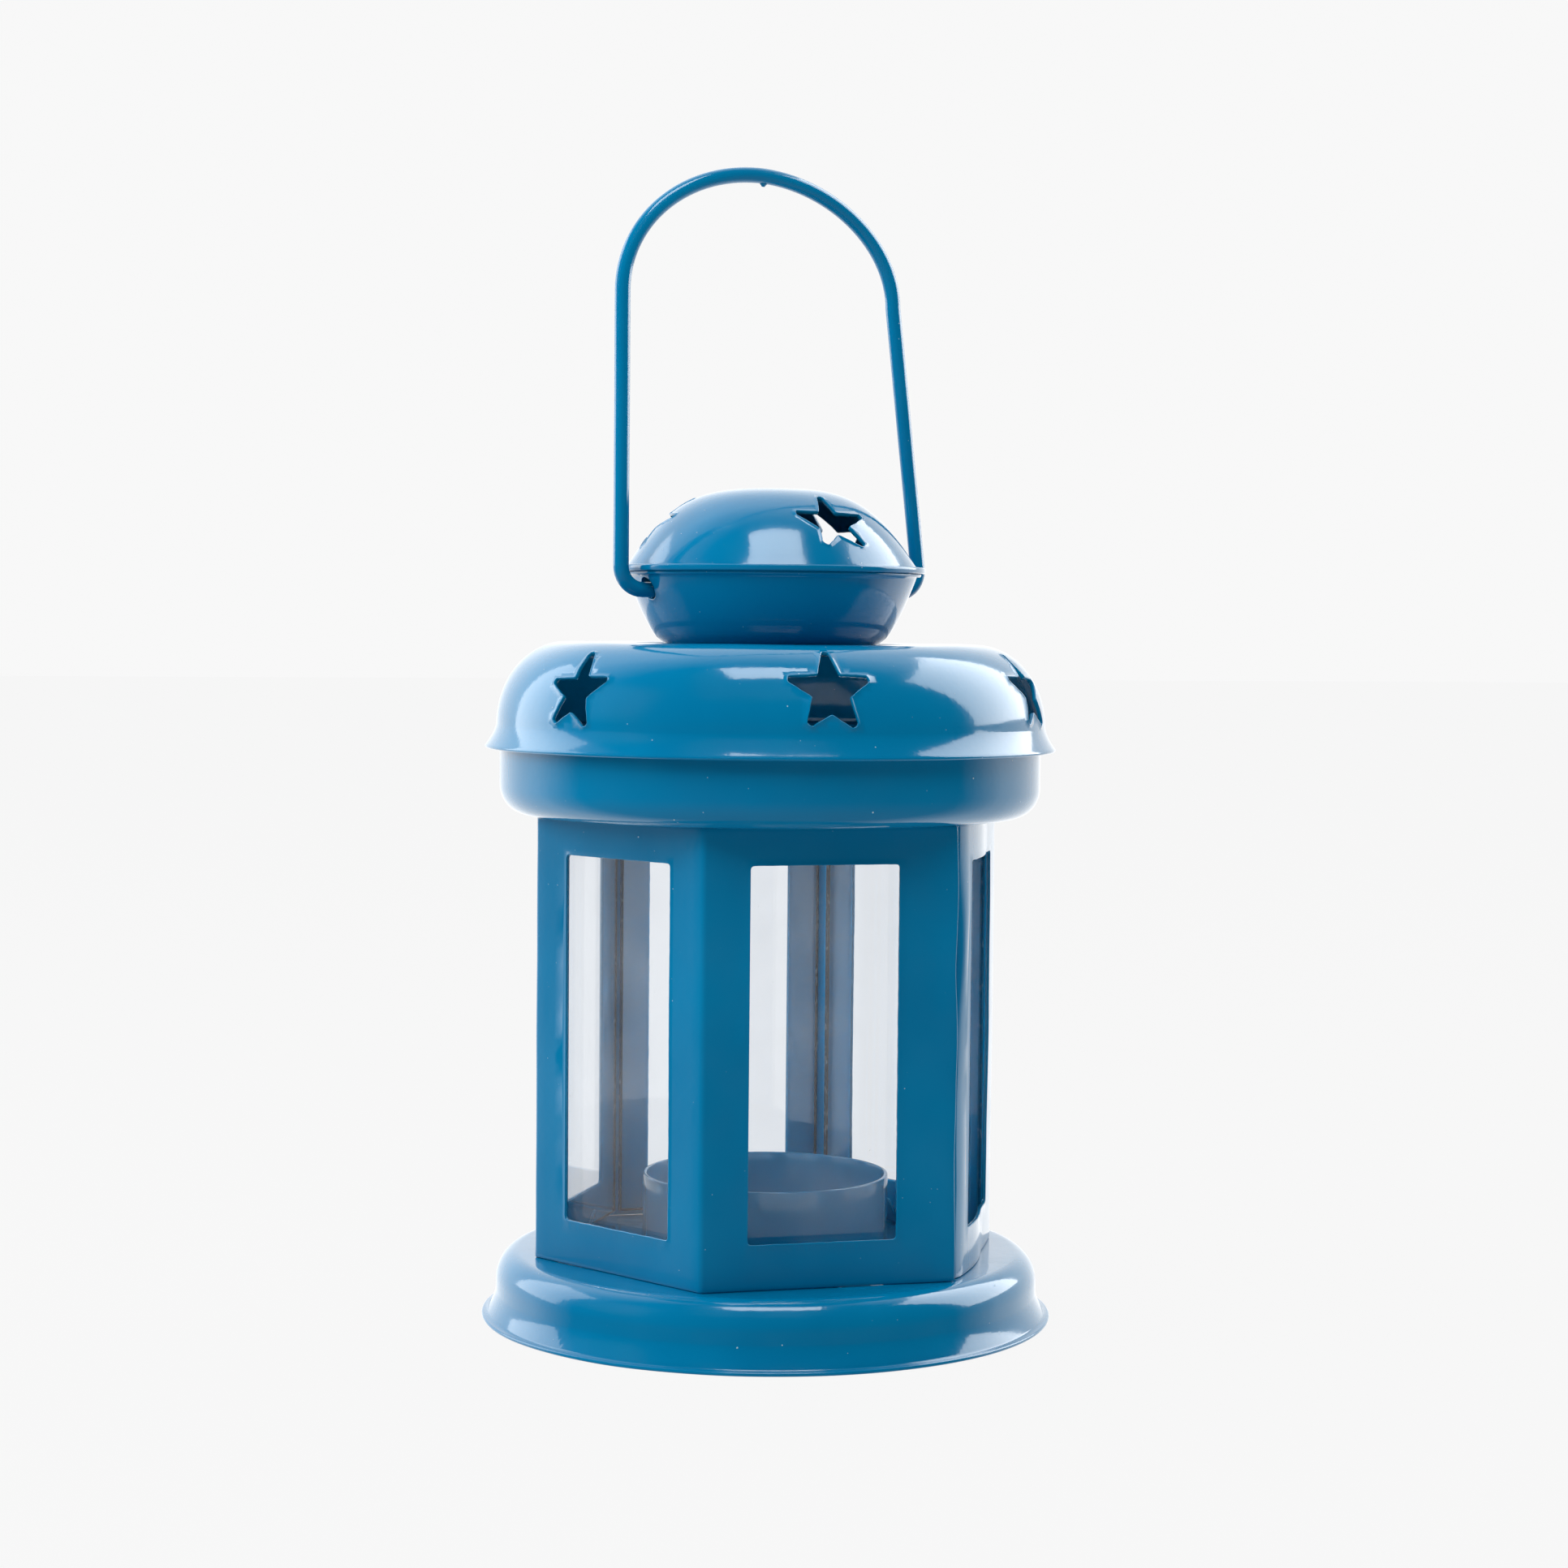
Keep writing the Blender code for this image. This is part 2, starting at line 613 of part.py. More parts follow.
def dome_point(angle, rise):
    """The dome's outline: straight flanks that round over to a nearly flat top."""
    radius = DOME_RADIUS * math.cos(angle) ** DOME_WIDTH_POWER
    return (radius, SHEET + rise * math.sin(angle) ** DOME_RISE_POWER)


def make_dome():
    rise = DOME_HEIGHT - SHEET
    steps = 8
    line = [(DOME_LIP_RADIUS, SHEET)]
    for i in range(steps):
        line.append(dome_point(math.radians(90 * i / steps), rise))
    inner = offset_line(line + [(0, DOME_HEIGHT)], SHEET)[:-1]
    outline = [(0, DOME_HEIGHT)] + line[::-1] + inner + [(0, DOME_HEIGHT - SHEET)]
    dome = turned("finial_dome", outline, paint("dome_paint"), DOME_Z, closed=False)
    places = []
    drop = (DOME_HEIGHT - DOME_STAR_DROP - SHEET) / rise
    angle = math.asin(drop ** (1 / DOME_RISE_POWER))
    radius, height = dome_point(angle, rise)
    for azimuth in DOME_STAR_AZIMUTHS:
        centre = panel_place(azimuth, radius, 0, height)
        places.append((centre, panel_place(azimuth, 1, 0, 1)))
    cut_stars(dome, "dome_stars", DOME_STAR_RADIUS, places, 4 * MM)
    return dome


# Bail ----------------------------------------------------------------------------------------


def bail_points():
    """Centre line of the wire in its own plane: (across, up) from the pivot."""
    reach = DOME_LIP_RADIUS + BAIL_CLEARANCE + WIRE_RADIUS
    hole_height = BOWL_HEIGHT - PIVOT_DROP
    wall = (hole_height / BOWL_HEIGHT) ** BOWL_POWER
    pin = BOWL_FOOT_RADIUS + (BOWL_RIM_RADIUS - BOWL_FOOT_RADIUS) * wall - BAIL_PIN_REACH
    left = [(-pin, 0)] + arc((-(reach - BAIL_BEND), BAIL_BEND), -BAIL_BEND, BAIL_BEND, -90, 0, 5)
    splayed = reach + BAIL_SPLAY
    right = [(pin, 0)] + arc((splayed - BAIL_BEND, BAIL_BEND), BAIL_BEND, BAIL_BEND, -90, 0, 5)
    top = (BAIL_CROWN_SHIFT, BAIL_SPRING_HEIGHT)
    wide_left = reach + BAIL_CROWN_SHIFT
    wide_right = reach - BAIL_LEAN - BAIL_CROWN_SHIFT
    crown = arc(top, -wide_left, BAIL_CROWN_HEIGHT, 0, 90, 12)
    for across, up in arc((0, 0), 1, 1, 90, 0, 12)[1:]:
        across = max(across, 0) ** BAIL_CROWN_POWER
        up = max(up, 0) ** BAIL_CROWN_POWER
        crown.append((top[0] + wide_right * across, top[1] + BAIL_CROWN_HEIGHT * up))
    return left + crown + right[::-1]


def make_bail():
    curve = bpy.data.curves.new("bail_handle", "CURVE")
    curve.dimensions = "3D"
    curve.bevel_depth = WIRE_RADIUS
    curve.bevel_resolution = 2
    curve.use_fill_caps = True
    points = bail_points()
    spline = curve.splines.new("POLY")
    spline.points.add(len(points) - 1)
    for target, (across, up) in zip(spline.points, points):
        target.co = (across, 0, up, 1)
    curve.materials.append(paint("bail_paint"))
    bail = bpy.data.objects.new("bail_handle", curve)
    bail.location = (0, 0, PIVOT_Z)
    bail.rotation_euler.z = math.radians(PIVOT_AZIMUTH - 90)
    bpy.context.scene.collection.objects.link(bail)
    return bail


def main():
    clear_scene()
    make_base()
    make_cup()
    make_cup_rivet()
    lift = bpy.data.objects.new("lift_off", None)
    bpy.context.scene.collection.objects.link(lift)
    upper = [make_frame(), *make_panes(), make_collar(), make_roof()]
    upper += [make_eyelet(), make_bowl(), make_dome(), make_bail()]
    for item in upper:
        item.parent = lift


main()
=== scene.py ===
"""Looks of the hexagonal tea-light lantern: painted sheet, glass, wire, studio light and camera.

Every piece takes its place from the frame. Shapes are worked out in millimetres and become
metres when they turn into meshes. Azimuths run from -Y towards +X, seen from above.
"""

import bisect
import json
import math

import bmesh
import bpy
from mathutils import Matrix, Vector, noise
from mathutils.geometry import delaunay_2d_cdt


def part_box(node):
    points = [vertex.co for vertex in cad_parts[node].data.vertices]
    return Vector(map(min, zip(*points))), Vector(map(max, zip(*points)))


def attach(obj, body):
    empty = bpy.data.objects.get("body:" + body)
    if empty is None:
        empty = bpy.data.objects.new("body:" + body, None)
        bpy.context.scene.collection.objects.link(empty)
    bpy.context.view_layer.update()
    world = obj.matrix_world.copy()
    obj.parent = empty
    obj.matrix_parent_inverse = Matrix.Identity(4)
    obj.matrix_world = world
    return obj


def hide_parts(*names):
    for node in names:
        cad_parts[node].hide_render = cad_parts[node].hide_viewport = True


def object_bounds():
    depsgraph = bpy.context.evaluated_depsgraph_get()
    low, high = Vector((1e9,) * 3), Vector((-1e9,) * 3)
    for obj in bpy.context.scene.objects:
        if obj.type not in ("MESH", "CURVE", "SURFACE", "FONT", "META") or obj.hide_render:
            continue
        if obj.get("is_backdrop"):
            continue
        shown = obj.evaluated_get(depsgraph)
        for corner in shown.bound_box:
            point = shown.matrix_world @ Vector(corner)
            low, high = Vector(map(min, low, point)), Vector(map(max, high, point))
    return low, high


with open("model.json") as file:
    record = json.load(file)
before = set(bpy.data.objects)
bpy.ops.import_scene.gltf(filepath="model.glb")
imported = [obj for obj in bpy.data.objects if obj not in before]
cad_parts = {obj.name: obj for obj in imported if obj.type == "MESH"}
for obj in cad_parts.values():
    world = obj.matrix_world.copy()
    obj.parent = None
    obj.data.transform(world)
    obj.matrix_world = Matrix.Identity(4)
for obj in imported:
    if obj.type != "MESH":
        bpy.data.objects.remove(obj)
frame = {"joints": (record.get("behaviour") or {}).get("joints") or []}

CAD_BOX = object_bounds()
MM = 0.001

# Sheet, wire and clearances, in millimetres
SHEET = 0.7
TAB_SHEET = 0.5
GLASS = 2.0
WIRE_RADIUS = 1.35
EDGE_ROUND = 0.34
STAR_BEAD = 0.14
GAP = 0.3

# Window frame
FRAME_RADIUS = 41.65
FRAME_HEIGHT = 76.3
WINDOW_MARGIN = 8.0
WINDOW_SILL = 7.4
WINDOW_HEAD = 6.1
BEND_RADIUS = 1.2
LAP_WIDTH = 7.0
FLAP_LENGTH = 2.4
SEAM_PUSH = 2.3
SEAM_BULGE = 0.9
GAPE_HEIGHT = 0.72
GAPE_SPAN = 0.16
PRONG_WIDTH = 3.4
PRONG_HEIGHT = 4.3
PRONG_LEAN = 1.4
TAB_ROOT = 2.0
TOP_TAB_WIDTH = 8.0
TOP_TAB_REACH = 3.0
LOCK_TAB_WIDTH = 5.0
LOCK_TAB_REACH = 2.0
LOCK_TAB_OFFSET = 6.0
LOCK_TURN = 12.0
LOCK_PLAY = 0.4
KEYHOLE_EASE = 1.6

# Turned shells
SHOULDER_WIDTH = 4.0
SHOULDER_DEPTH = 5.0
BASE_FLANGE = 2.5
BASE_RIM = 1.0
BASE_FLARE_HEIGHT = 4.0
FLARE_POWER = 1.5
RIVET_HOLE = 2.5
DIMPLE_RADIUS = 5.0
DIMPLE_SLOPE = 2.0
DIMPLE_DEPTH = 1.0
CUP_CORNER = 1.6
COLLAR_CORNER_WIDTH = 4.6
COLLAR_CORNER_DEPTH = 5.0
COLLAR_HEIGHT = 14.6
COLLAR_LIP_DEPTH = 3.0
COLLAR_LIP_BEND = 1.2
ROOF_HEIGHT = 18.0
ROOF_FLARE = 2.15
ROOF_FLARE_HEIGHT = 3.8
ROOF_SHOULDER_WIDTH = 12.0
ROOF_SHOULDER_DEPTH = 14.2
ROOF_RECESS_DEPTH = 0.5
ROOF_RECESS_RADIUS = 23.6
ROOF_RECESS_STEP = 1.2
EYELET_HOLE = 8.3
EYELET_BORE = 7.3
EYELET_RADIUS = 8.0
BOWL_FOOT_RADIUS = 18.6
BOWL_RIM_RADIUS = 25.4
BOWL_POWER = 0.65
DOME_WIDTH_POWER = 0.606
DOME_RISE_POWER = 2.174

# Bail
PIVOT_AZIMUTH = 105.0
BAIL_REACH = 29.75
BAIL_BEND = 4.0
BAIL_PIN_REACH = 2.2
BAIL_SPRING_HEIGHT = 50.7
BAIL_CROWN_HEIGHT = 21.3
BAIL_CROWN_SHIFT = -3.5
BAIL_SPLAY = 0.5
BAIL_LEAN = 5.3
BAIL_CROWN_POWER = 1.05
BAIL_BEVEL = 0.35
WIRE_SIDES = 24
DRIP_ACROSS = -2.2
DRIP_SINK = 0.35
DRIP_LENGTHEN = 1.5
DRIP_LEAN = 0.25
DRIP_SIDES = 20

# Facets and grid steps
FACETS = 192
SOLID_FACETS = 64
FLAT_STEP = 2.2

# Direction in which the camera stands, seen from the lantern
CAMERA_AZIMUTH = -15.3
CAMERA_PLACE = (2.45, -558.3, 122.0)
CAMERA_DIP = 0.051
CAMERA_ROLL = 0.009
CAMERA_LENS = 73.0
CAMERA_SENSOR = 36.0


# Places taken from the frame


def node_box(node):
    low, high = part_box(node)
    return low / MM, high / MM


def turned_box(node):
    """Radius, lowest and highest point of a turned node."""
    low, high = node_box(node)
    return high.x, low.z, high.z


BASE_LIP, _, BASE_TOP = turned_box("base_shell")
CUP_RADIUS, _, CUP_RIM = turned_box("candle_cup")
RIVET_HEAD, RIVET_LOW, RIVET_HIGH = turned_box("cup_rivet")
COLLAR_RADIUS = turned_box("roof_collar")[0]
ROOF_LIP, _, ROOF_TOP = turned_box("roof_shell")
EYELET_FLANGE, EYELET_LOW, EYELET_HIGH = turned_box("chimney_eyelet")
BOWL_FLANGE_RADIUS, BOWL_Z, BOWL_TOP = turned_box("finial_bowl")
DOME_LIP_RADIUS, DOME_Z, DOME_TOP = turned_box("finial_dome")
PIVOT_Z = next(joint["pos_m"][2] for joint in frame["joints"] if joint["name"] == "bail_swing") / MM

PANEL_WIDTH = FRAME_RADIUS
APOTHEM = FRAME_RADIUS * math.cos(math.radians(30))
WALL_DEPTH = APOTHEM - SHEET / 2
SEAM_STEP = SHEET + GAP
FRAME_Z = BASE_TOP + GAP
CUP_Z = BASE_TOP + GAP
COLLAR_Z = FRAME_Z + FRAME_HEIGHT + GAP
ROOF_Z = ROOF_TOP - ROOF_HEIGHT
FRONT_PANE_INNER = -node_box("glass_pane_1")[1].y
COLLAR_LIP_RADIUS = FRONT_PANE_INNER - GAP
PANEL_AZIMUTHS = (0, 60, 120, 180, -120, -60)
LOCK_AZIMUTHS = (0, 120, -120)


# Outlines


def arc(centre, radius_x, radius_y, start, stop, steps):
    """Points of an elliptical arc from start to stop degrees."""
    points = []
    for i in range(steps + 1):
        angle = math.radians(start + (stop - start) * i / steps)
        points.append((centre[0] + radius_x * math.cos(angle), centre[1] + radius_y * math.sin(angle)))
    return points


def flare(lip, wall, low, high, steps=12):
    """A skirt from the wall out to its lip, going down."""
    points = []
    for i in range(steps, -1, -1):
        t = i / steps
        points.append((wall + (lip - wall) * (1 - t) ** FLARE_POWER, low + (high - low) * t))
    return points


def divided(points, step):
    """The same line with no stretch longer than step."""
    line = [points[0]]
    for (x0, y0), (x1, y1) in zip(points, points[1:]):
        pieces = max(1, math.ceil(math.hypot(x1 - x0, y1 - y0) / step))
        for i in range(1, pieces + 1):
            line.append((x0 + (x1 - x0) * i / pieces, y0 + (y1 - y0) * i / pieces))
    return line


def rounded(points, radius, closed=True, steps=5):
    """Replace the corners of a line by smooth bends about radius wide."""
    count = len(points)
    line = []
    for i, point in enumerate(points):
        if not closed and i in (0, count - 1):
            line.append(point)
            continue
        corner = Vector(point)
        come = Vector(points[i - 1]) - corner
        leave = Vector(points[(i + 1) % count]) - corner
        half = come.angle(leave) / 2
        reach = min(radius / math.tan(half), 0.45 * come.length, 0.45 * leave.length)
        if reach < 0.03:
            line.append(point)
            continue
        start = corner + come.normalized() * reach
        stop = corner + leave.normalized() * reach
        for k in range(steps + 1):
            t = k / steps
            bend = start * (1 - t) ** 2 + corner * 2 * t * (1 - t) + stop * t ** 2
            line.append(tuple(bend))
    return line


def star_outline(tips, notches, blunt=1.0, radius=0.5):
    """Ten corners of a hand-cut star, tips first, with each tip cut blunt and all corners rounded."""
    corners = []
    for tip, notch in zip(tips, notches):
        outward = Vector(tip).normalized()
        across = Vector((-outward.y, outward.x)) * blunt / 2
        corners += [tuple(Vector(tip) - across), tuple(Vector(tip) + across), notch]
    return divided(rounded(corners, radius, steps=4), 0.4)


def panel_place(azimuth, depth, along=0.0, height=0.0):
    """A point on the panel of this azimuth: depth from the axis, along to its right, and height."""
    angle = math.radians(azimuth)
    outward = Vector((math.sin(angle), -math.cos(angle), 0))
    right = Vector((math.cos(angle), math.sin(angle), 0))
    return outward * depth + right * along + Vector((0, 0, height))


def ripple(point, length, seed):
    """Smooth unevenness between -1 and 1 with about this wavelength."""
    return noise.noise(Vector(point) / length + Vector((seed, 3.1 * seed, -1.7 * seed)))


# Sheets with punched holes


class Profile:
    """Outer face of a sheet as a line by length. side is 1 where that face is left of the line."""

    def __init__(self, points, side=1, start=None):
        self.points = points
        self.lengths = [points[0][0] if start is None else start]
        headings = []
        for (r0, z0), (r1, z1) in zip(points, points[1:]):
            step = Vector((r1 - r0, z1 - z0))
            self.lengths.append(self.lengths[-1] + step.length)
            headings.append(step.normalized())
        self.normals = []
        for i in range(len(points)):
            heading = headings[max(i - 1, 0)] + headings[min(i, len(headings) - 1)]
            heading.normalize()
            self.normals.append((-heading.y * side, heading.x * side))

    def at(self, length):
        """Both coordinates and the outward direction at a length along the line."""
        i = min(max(bisect.bisect_right(self.lengths, length) - 1, 0), len(self.points) - 2)
        span = self.lengths[i + 1] - self.lengths[i]
        t = (length - self.lengths[i]) / span
        blend = min(max(t, 0), 1)
        (r0, z0), (r1, z1) = self.points[i], self.points[i + 1]
        (a0, b0), (a1, b1) = self.normals[i], self.normals[i + 1]
        direction = Vector((a0 + (a1 - a0) * blend, b0 + (b1 - b0) * blend)).normalized()
        return r0 + (r1 - r0) * t, z0 + (z1 - z0) * t, direction

    def length_at_radius(self, radius):
        """Length at which a profile that runs outwards first reaches a radius."""
        for i, (r, _) in enumerate(self.points):
            if r >= radius:
                back = max(i - 1, 0)
                span = max(r - self.points[back][0], 1e-9)
                t = (radius - self.points[back][0]) / span
                return self.lengths[back] + t * (self.lengths[i] - self.lengths[back])
        return self.lengths[-1]


class Hole:
    """A punched outline in millimetres, with the function that lays it on a sheet's u and v."""

    def __init__(self, outline, lay, across, ragged=0.05, seed=1.0, bead=0.04):
        self.lay = lay
        self.bead = bead
        self.across = across
        self.points = []
        self.normals = []
        count = len(outline)
        area = sum(a[0] * b[1] - b[0] * a[1] for a, b in zip(outline, outline[1:] + outline[:1]))
        sign = 1 if area > 0 else -1
        for i, point in enumerate(outline):
            along = (Vector(outline[(i + 1) % count]) - Vector(outline[i - 1])).normalized()
            outward = Vector((along.y, -along.x)) * sign
            jag = ragged * ripple((point[0], point[1], 0), 1.1, seed)
            self.points.append(Vector(point) + outward * jag)
            self.normals.append(outward)
        room = [self.room_at(i) for i in range(count)]
        reach = range(-3, 4)
        for blend in (min, lambda shares: sum(shares) / len(shares)):
            room = [blend([room[(i + k) % count] for k in reach]) for i in range(count)]
        self.room = room

    def room_at(self, i):
        """Share of the full growth that fits at a point before the outline meets itself."""
        for share in (1, 0.8, 0.6, 0.4, 0.25, 0.12):
            grow = share * EDGE_ROUND
            spot = self.points[i] + self.normals[i] * grow
            if all((spot - p).length > 0.95 * grow for p in self.points):
                return share
        return 0.04

    def ring(self, grow):
        steps = zip(self.points, self.normals, self.room)
        return [self.lay(*(point + normal * grow * room)) for point, normal, room in steps]


def inside(point, loop):
    """Whether a point lies inside a closed loop."""
    x, y = point
    found = False
    for (x0, y0), (x1, y1) in zip(loop, loop[1:] + loop[:1]):
        if (y0 > y) != (y1 > y) and x < x0 + (y - y0) * (x1 - x0) / (y1 - y0):
            found = not found
    return found


def bands(rings):
    """Faces between neighbouring rings of points, with triangles where a ring is a single point."""
    faces = []
    for a, b in zip(rings, rings[1:]):
        for i in range(len(a)):
            j = (i + 1) % len(a)
            faces.append(tuple(dict.fromkeys((a[i], a[j], b[j], b[i]))))
    return faces


def capped(rings):
    """Faces of a closed bar: its two ends and the bands between them."""
    return [tuple(rings[0]), tuple(rings[-1])] + bands(rings)


class Skin:
    """Points and faces of one closed sheet."""

    def __init__(self, place):
        self.place = place
        self.points = []
        self.faces = []

    def add(self, u, v, depth):
        self.points.append(self.place(u, v, depth))
        return len(self.points) - 1


def hole_section(thick, bead):
    """How the wall of a hole runs through the sheet: (grow, depth), with a bead of paint outside."""
    rise = [(0.65 * EDGE_ROUND, -0.8 * bead), (0.35 * EDGE_ROUND, -bead), (0.08 * EDGE_ROUND, -0.4 * bead)]
    return rise + [(0, 0.15 * thick), (0, 0.5 * thick), (0.12 * EDGE_ROUND, 0.9 * thick)]


def punch(skin, layers, us, vs, hole, thick, turn):
    """Fill the grid window around a hole with triangles, and wall the hole. Returns its cells."""
    columns = len(us)
    loop = hole.ring(EDGE_ROUND)
    margin = 0.3
    low_u = min(p[0] for p in loop) - margin / hole.across
    high_u = max(p[0] for p in loop) + margin / hole.across
    low_v = min(p[1] for p in loop) - margin
    high_v = max(p[1] for p in loop) + margin

    def u_at(i):
        return us[i % columns] + turn * (i // columns)

    start = -columns if turn else 0
    stop = 2 * columns if turn else columns
    i0 = max(i for i in range(start, stop) if u_at(i) <= low_u)
    i1 = min(i for i in range(start, stop) if u_at(i) >= high_u)
    j0 = max(j for j in range(len(vs)) if vs[j] <= low_v)
    j1 = min(j for j in range(len(vs)) if vs[j] >= high_v)
    flat_loop = [(u * hole.across, v) for u, v in loop]
    flat = []
    refs = []
    for j in range(j0, j1 + 1):
        for i in range(i0, i1 + 1):
            spot = (u_at(i) * hole.across, vs[j])
            if i0 < i < i1 and j0 < j < j1:
                near = min(math.hypot(spot[0] - x, spot[1] - y) for x, y in flat_loop)
                if near < margin or inside(spot, flat_loop):
                    continue
            flat.append(Vector(spot))
            refs.append([layer[j][i % columns] for layer in layers])
    first = len(flat)
    outer = [skin.add(u, v, 0) for u, v in loop]
    inner = [skin.add(u, v, thick) for u, v in loop]
    flat += [Vector(p) for p in flat_loop]
    refs += [list(pair) for pair in zip(outer, inner)]
    count = len(loop)
    edges = [(first + k, first + (k + 1) % count) for k in range(count)]
    found, _, faces, sources, _, _ = delaunay_2d_cdt(flat, edges, [], 0, 1e-7)
    for face in faces:
        middle = sum((found[k] for k in face), Vector((0, 0))) / len(face)
        if inside(middle, flat_loop):
            continue
        for side in (0, 1):
            skin.faces.append(tuple(refs[sources[k][0]][side] for k in face))
    rings = [outer]
    for grow, depth in hole_section(thick, hole.bead):
        rings.append([skin.add(u, v, depth) for u, v in hole.ring(grow)])
    rings.append(inner)
    skin.faces += bands(rings)
    return {(i % columns, j) for i in range(i0, i1) for j in range(j0, j1)}


def lip_section(thick, bulge):
    """How a free edge rounds over: (reach beyond the edge, depth)."""
    angles = [math.pi * k / 6 for k in range(1, 6)]
    return [(bulge * math.sin(a), thick * (1 - math.cos(a)) / 2) for a in angles]


def sheet(us, vs, place, thick, holes=(), turn=0.0, bulge=0.3, pole=False):
    """A sheet over a grid of u and v, with rounded free edges and punched holes.

    turn is the full turn of u where the grid closes on itself, or 0. pole closes it at vs[0].
    """
    skin = Skin(place)
    layers = [[[skin.add(u, v, depth) for u in us] for v in vs] for depth in (0, thick)]
    columns = len(us)
    last = columns if turn else columns - 1
    cells = {(i, j) for i in range(last) for j in range(len(vs) - 1)}
    for hole in holes:
        cells -= punch(skin, layers, us, vs, hole, thick, turn)
    for i, j in sorted(cells):
        k = (i + 1) % columns
        for layer in layers:
            skin.faces.append((layer[j][i], layer[j][k], layer[j + 1][k], layer[j + 1][i]))
    if turn:
        rims = [[(i, len(vs) - 1, 0, 1) for i in range(columns)]]
        if pole:
            for depth, layer in zip((0, thick), layers):
                centre = skin.add(0, 0, depth)
                for i in range(columns):
                    skin.faces.append((centre, layer[0][i], layer[0][(i + 1) % columns]))
        else:
            rims.append([(i, 0, 0, -1) for i in range(columns)])
    else:
        rows = len(vs)
        rim = [(i, 0, 0, -1) for i in range(columns - 1)]
        rim += [(columns - 1, j, 1, 0) for j in range(rows - 1)]
        rim += [(i, rows - 1, 0, 1) for i in range(columns - 1, 0, -1)]
        rim += [(0, j, -1, 0) for j in range(rows - 1, 0, -1)]
        rims = [rim]
    for rim in rims:
        rings = [[layers[0][j][i] for i, j, _, _ in rim]]
        for reach, depth in lip_section(thick, bulge):
            rings.append([skin.add(us[i] + du * reach, vs[j] + dv * reach, depth) for i, j, du, dv in rim])
        rings.append([layers[1][j][i] for i, j, _, _ in rim])
        skin.faces += bands(rings)
    return skin


def make_object(name, points, faces, material, sharp=None):
    """Link a closed mesh, given in millimetres, as a smooth-shaded object in metres."""
    bm = bmesh.new()
    verts = [bm.verts.new(Vector(p) * MM) for p in points]
    for face in faces:
        bm.faces.new([verts[k] for k in face])
    loose = [v for v in bm.verts if not v.link_faces]
    bmesh.ops.delete(bm, geom=loose, context="VERTS")
    bmesh.ops.recalc_face_normals(bm, faces=bm.faces)
    mesh = bpy.data.meshes.new(name)
    bm.to_mesh(mesh)
    bm.free()
    mesh.shade_smooth()
    if sharp:
        mesh.set_sharp_from_angle(angle=math.radians(sharp))
    mesh.materials.append(material)
    made = bpy.data.objects.new(name, mesh)
    bpy.context.scene.collection.objects.link(made)
    return made


def settle(piece, body, node=None):
    """Tie a piece to its body and hide the node that it stands for."""
    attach(piece, body)
    if node:
        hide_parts(node)


def turned_shell(node, body, profile, paint, holes=(), swell=0.07, length=16, seed=1.0, bulge=0.3,
                 pole=False):
    """A painted turned sheet, slightly uneven, that stands for a node. Its u is the azimuth."""

    def place(u, v, depth):
        r, z, outward = profile.at(v)
        depth -= swell * ripple((r * math.sin(u), -r * math.cos(u), z), length, seed)
        r -= outward.x * depth
        z -= outward.y * depth
        return Vector((r * math.sin(u), -r * math.cos(u), z))

    us = [math.radians(-180 + 360 * i / FACETS) for i in range(FACETS)]
    skin = sheet(us, profile.lengths, place, SHEET, holes, 2 * math.pi, bulge, pole)
    settle(make_object(f"{node}_fine", skin.points, skin.faces, paint), body, node)


def on_profile(profile, azimuth, length):
    """Lays (across, up) millimetres on a turned sheet around an azimuth and a profile length."""

    def lay(across, up):
        v = length - up
        return math.radians(azimuth) + across / profile.at(v)[0], v

    return lay


def on_deck(profile, azimuth):
    """Lays plan (x, y) millimetres, with the azimuth's outward direction at -y, on a flat ring."""

    def lay(x, y):
        return math.radians(azimuth) + math.atan2(x, -y), profile.length_at_radius(math.hypot(x, y))

    return lay


# Materials


def add_node(tree, kind, inputs=(), **settings):
    """A node with its settings, and its inputs set to values or linked from sockets."""
    node = tree.nodes.new(kind)
    for key, value in settings.items():
        setattr(node, key, value)
    for key, value in dict(inputs).items():
        if isinstance(value, bpy.types.NodeSocket):
            tree.links.new(value, node.inputs[key])
        else:
            node.inputs[key].default_value = value
    return node


def new_material(name, **values):
    """A glossy material with its node tree, its shader and the object's own coordinates."""
    material = bpy.data.materials.new(name)
    material.use_nodes = True
    shader = material.node_tree.nodes["Principled BSDF"]
    for key, value in values.items():
        shader.inputs[key.replace("_", " ")].default_value = value
    tree = material.node_tree
    return material, tree, shader, add_node(tree, "ShaderNodeTexCoord").outputs["Object"]


def bump_up(tree, shader, height, strength=1.0):
    """Raise the surface by up to a hundredth of a millimetre where height is 1."""
    bump = add_node(tree, "ShaderNodeBump", {"Height": height, "Strength": strength, "Distance": 1.0e-5})
    tree.links.new(bump.outputs["Normal"], shader.inputs["Normal"])
    return bump.outputs["Normal"]


def noise_value(tree, where, scale, detail=2.0):
    node = add_node(tree, "ShaderNodeTexNoise", {"Vector": where, "Scale": scale, "Detail": detail})
    return node.outputs["Fac"]


def remap(tree, value, low, high, to_low, to_high):
    inputs = {"Value": value, "From Min": low, "From Max": high, "To Min": to_low, "To Max": to_high}
    return add_node(tree, "ShaderNodeMapRange", inputs).outputs["Result"]


def math_node(tree, operation, a, b):
    return add_node(tree, "ShaderNodeMath", {0: a, 1: b}, operation=operation).outputs[0]


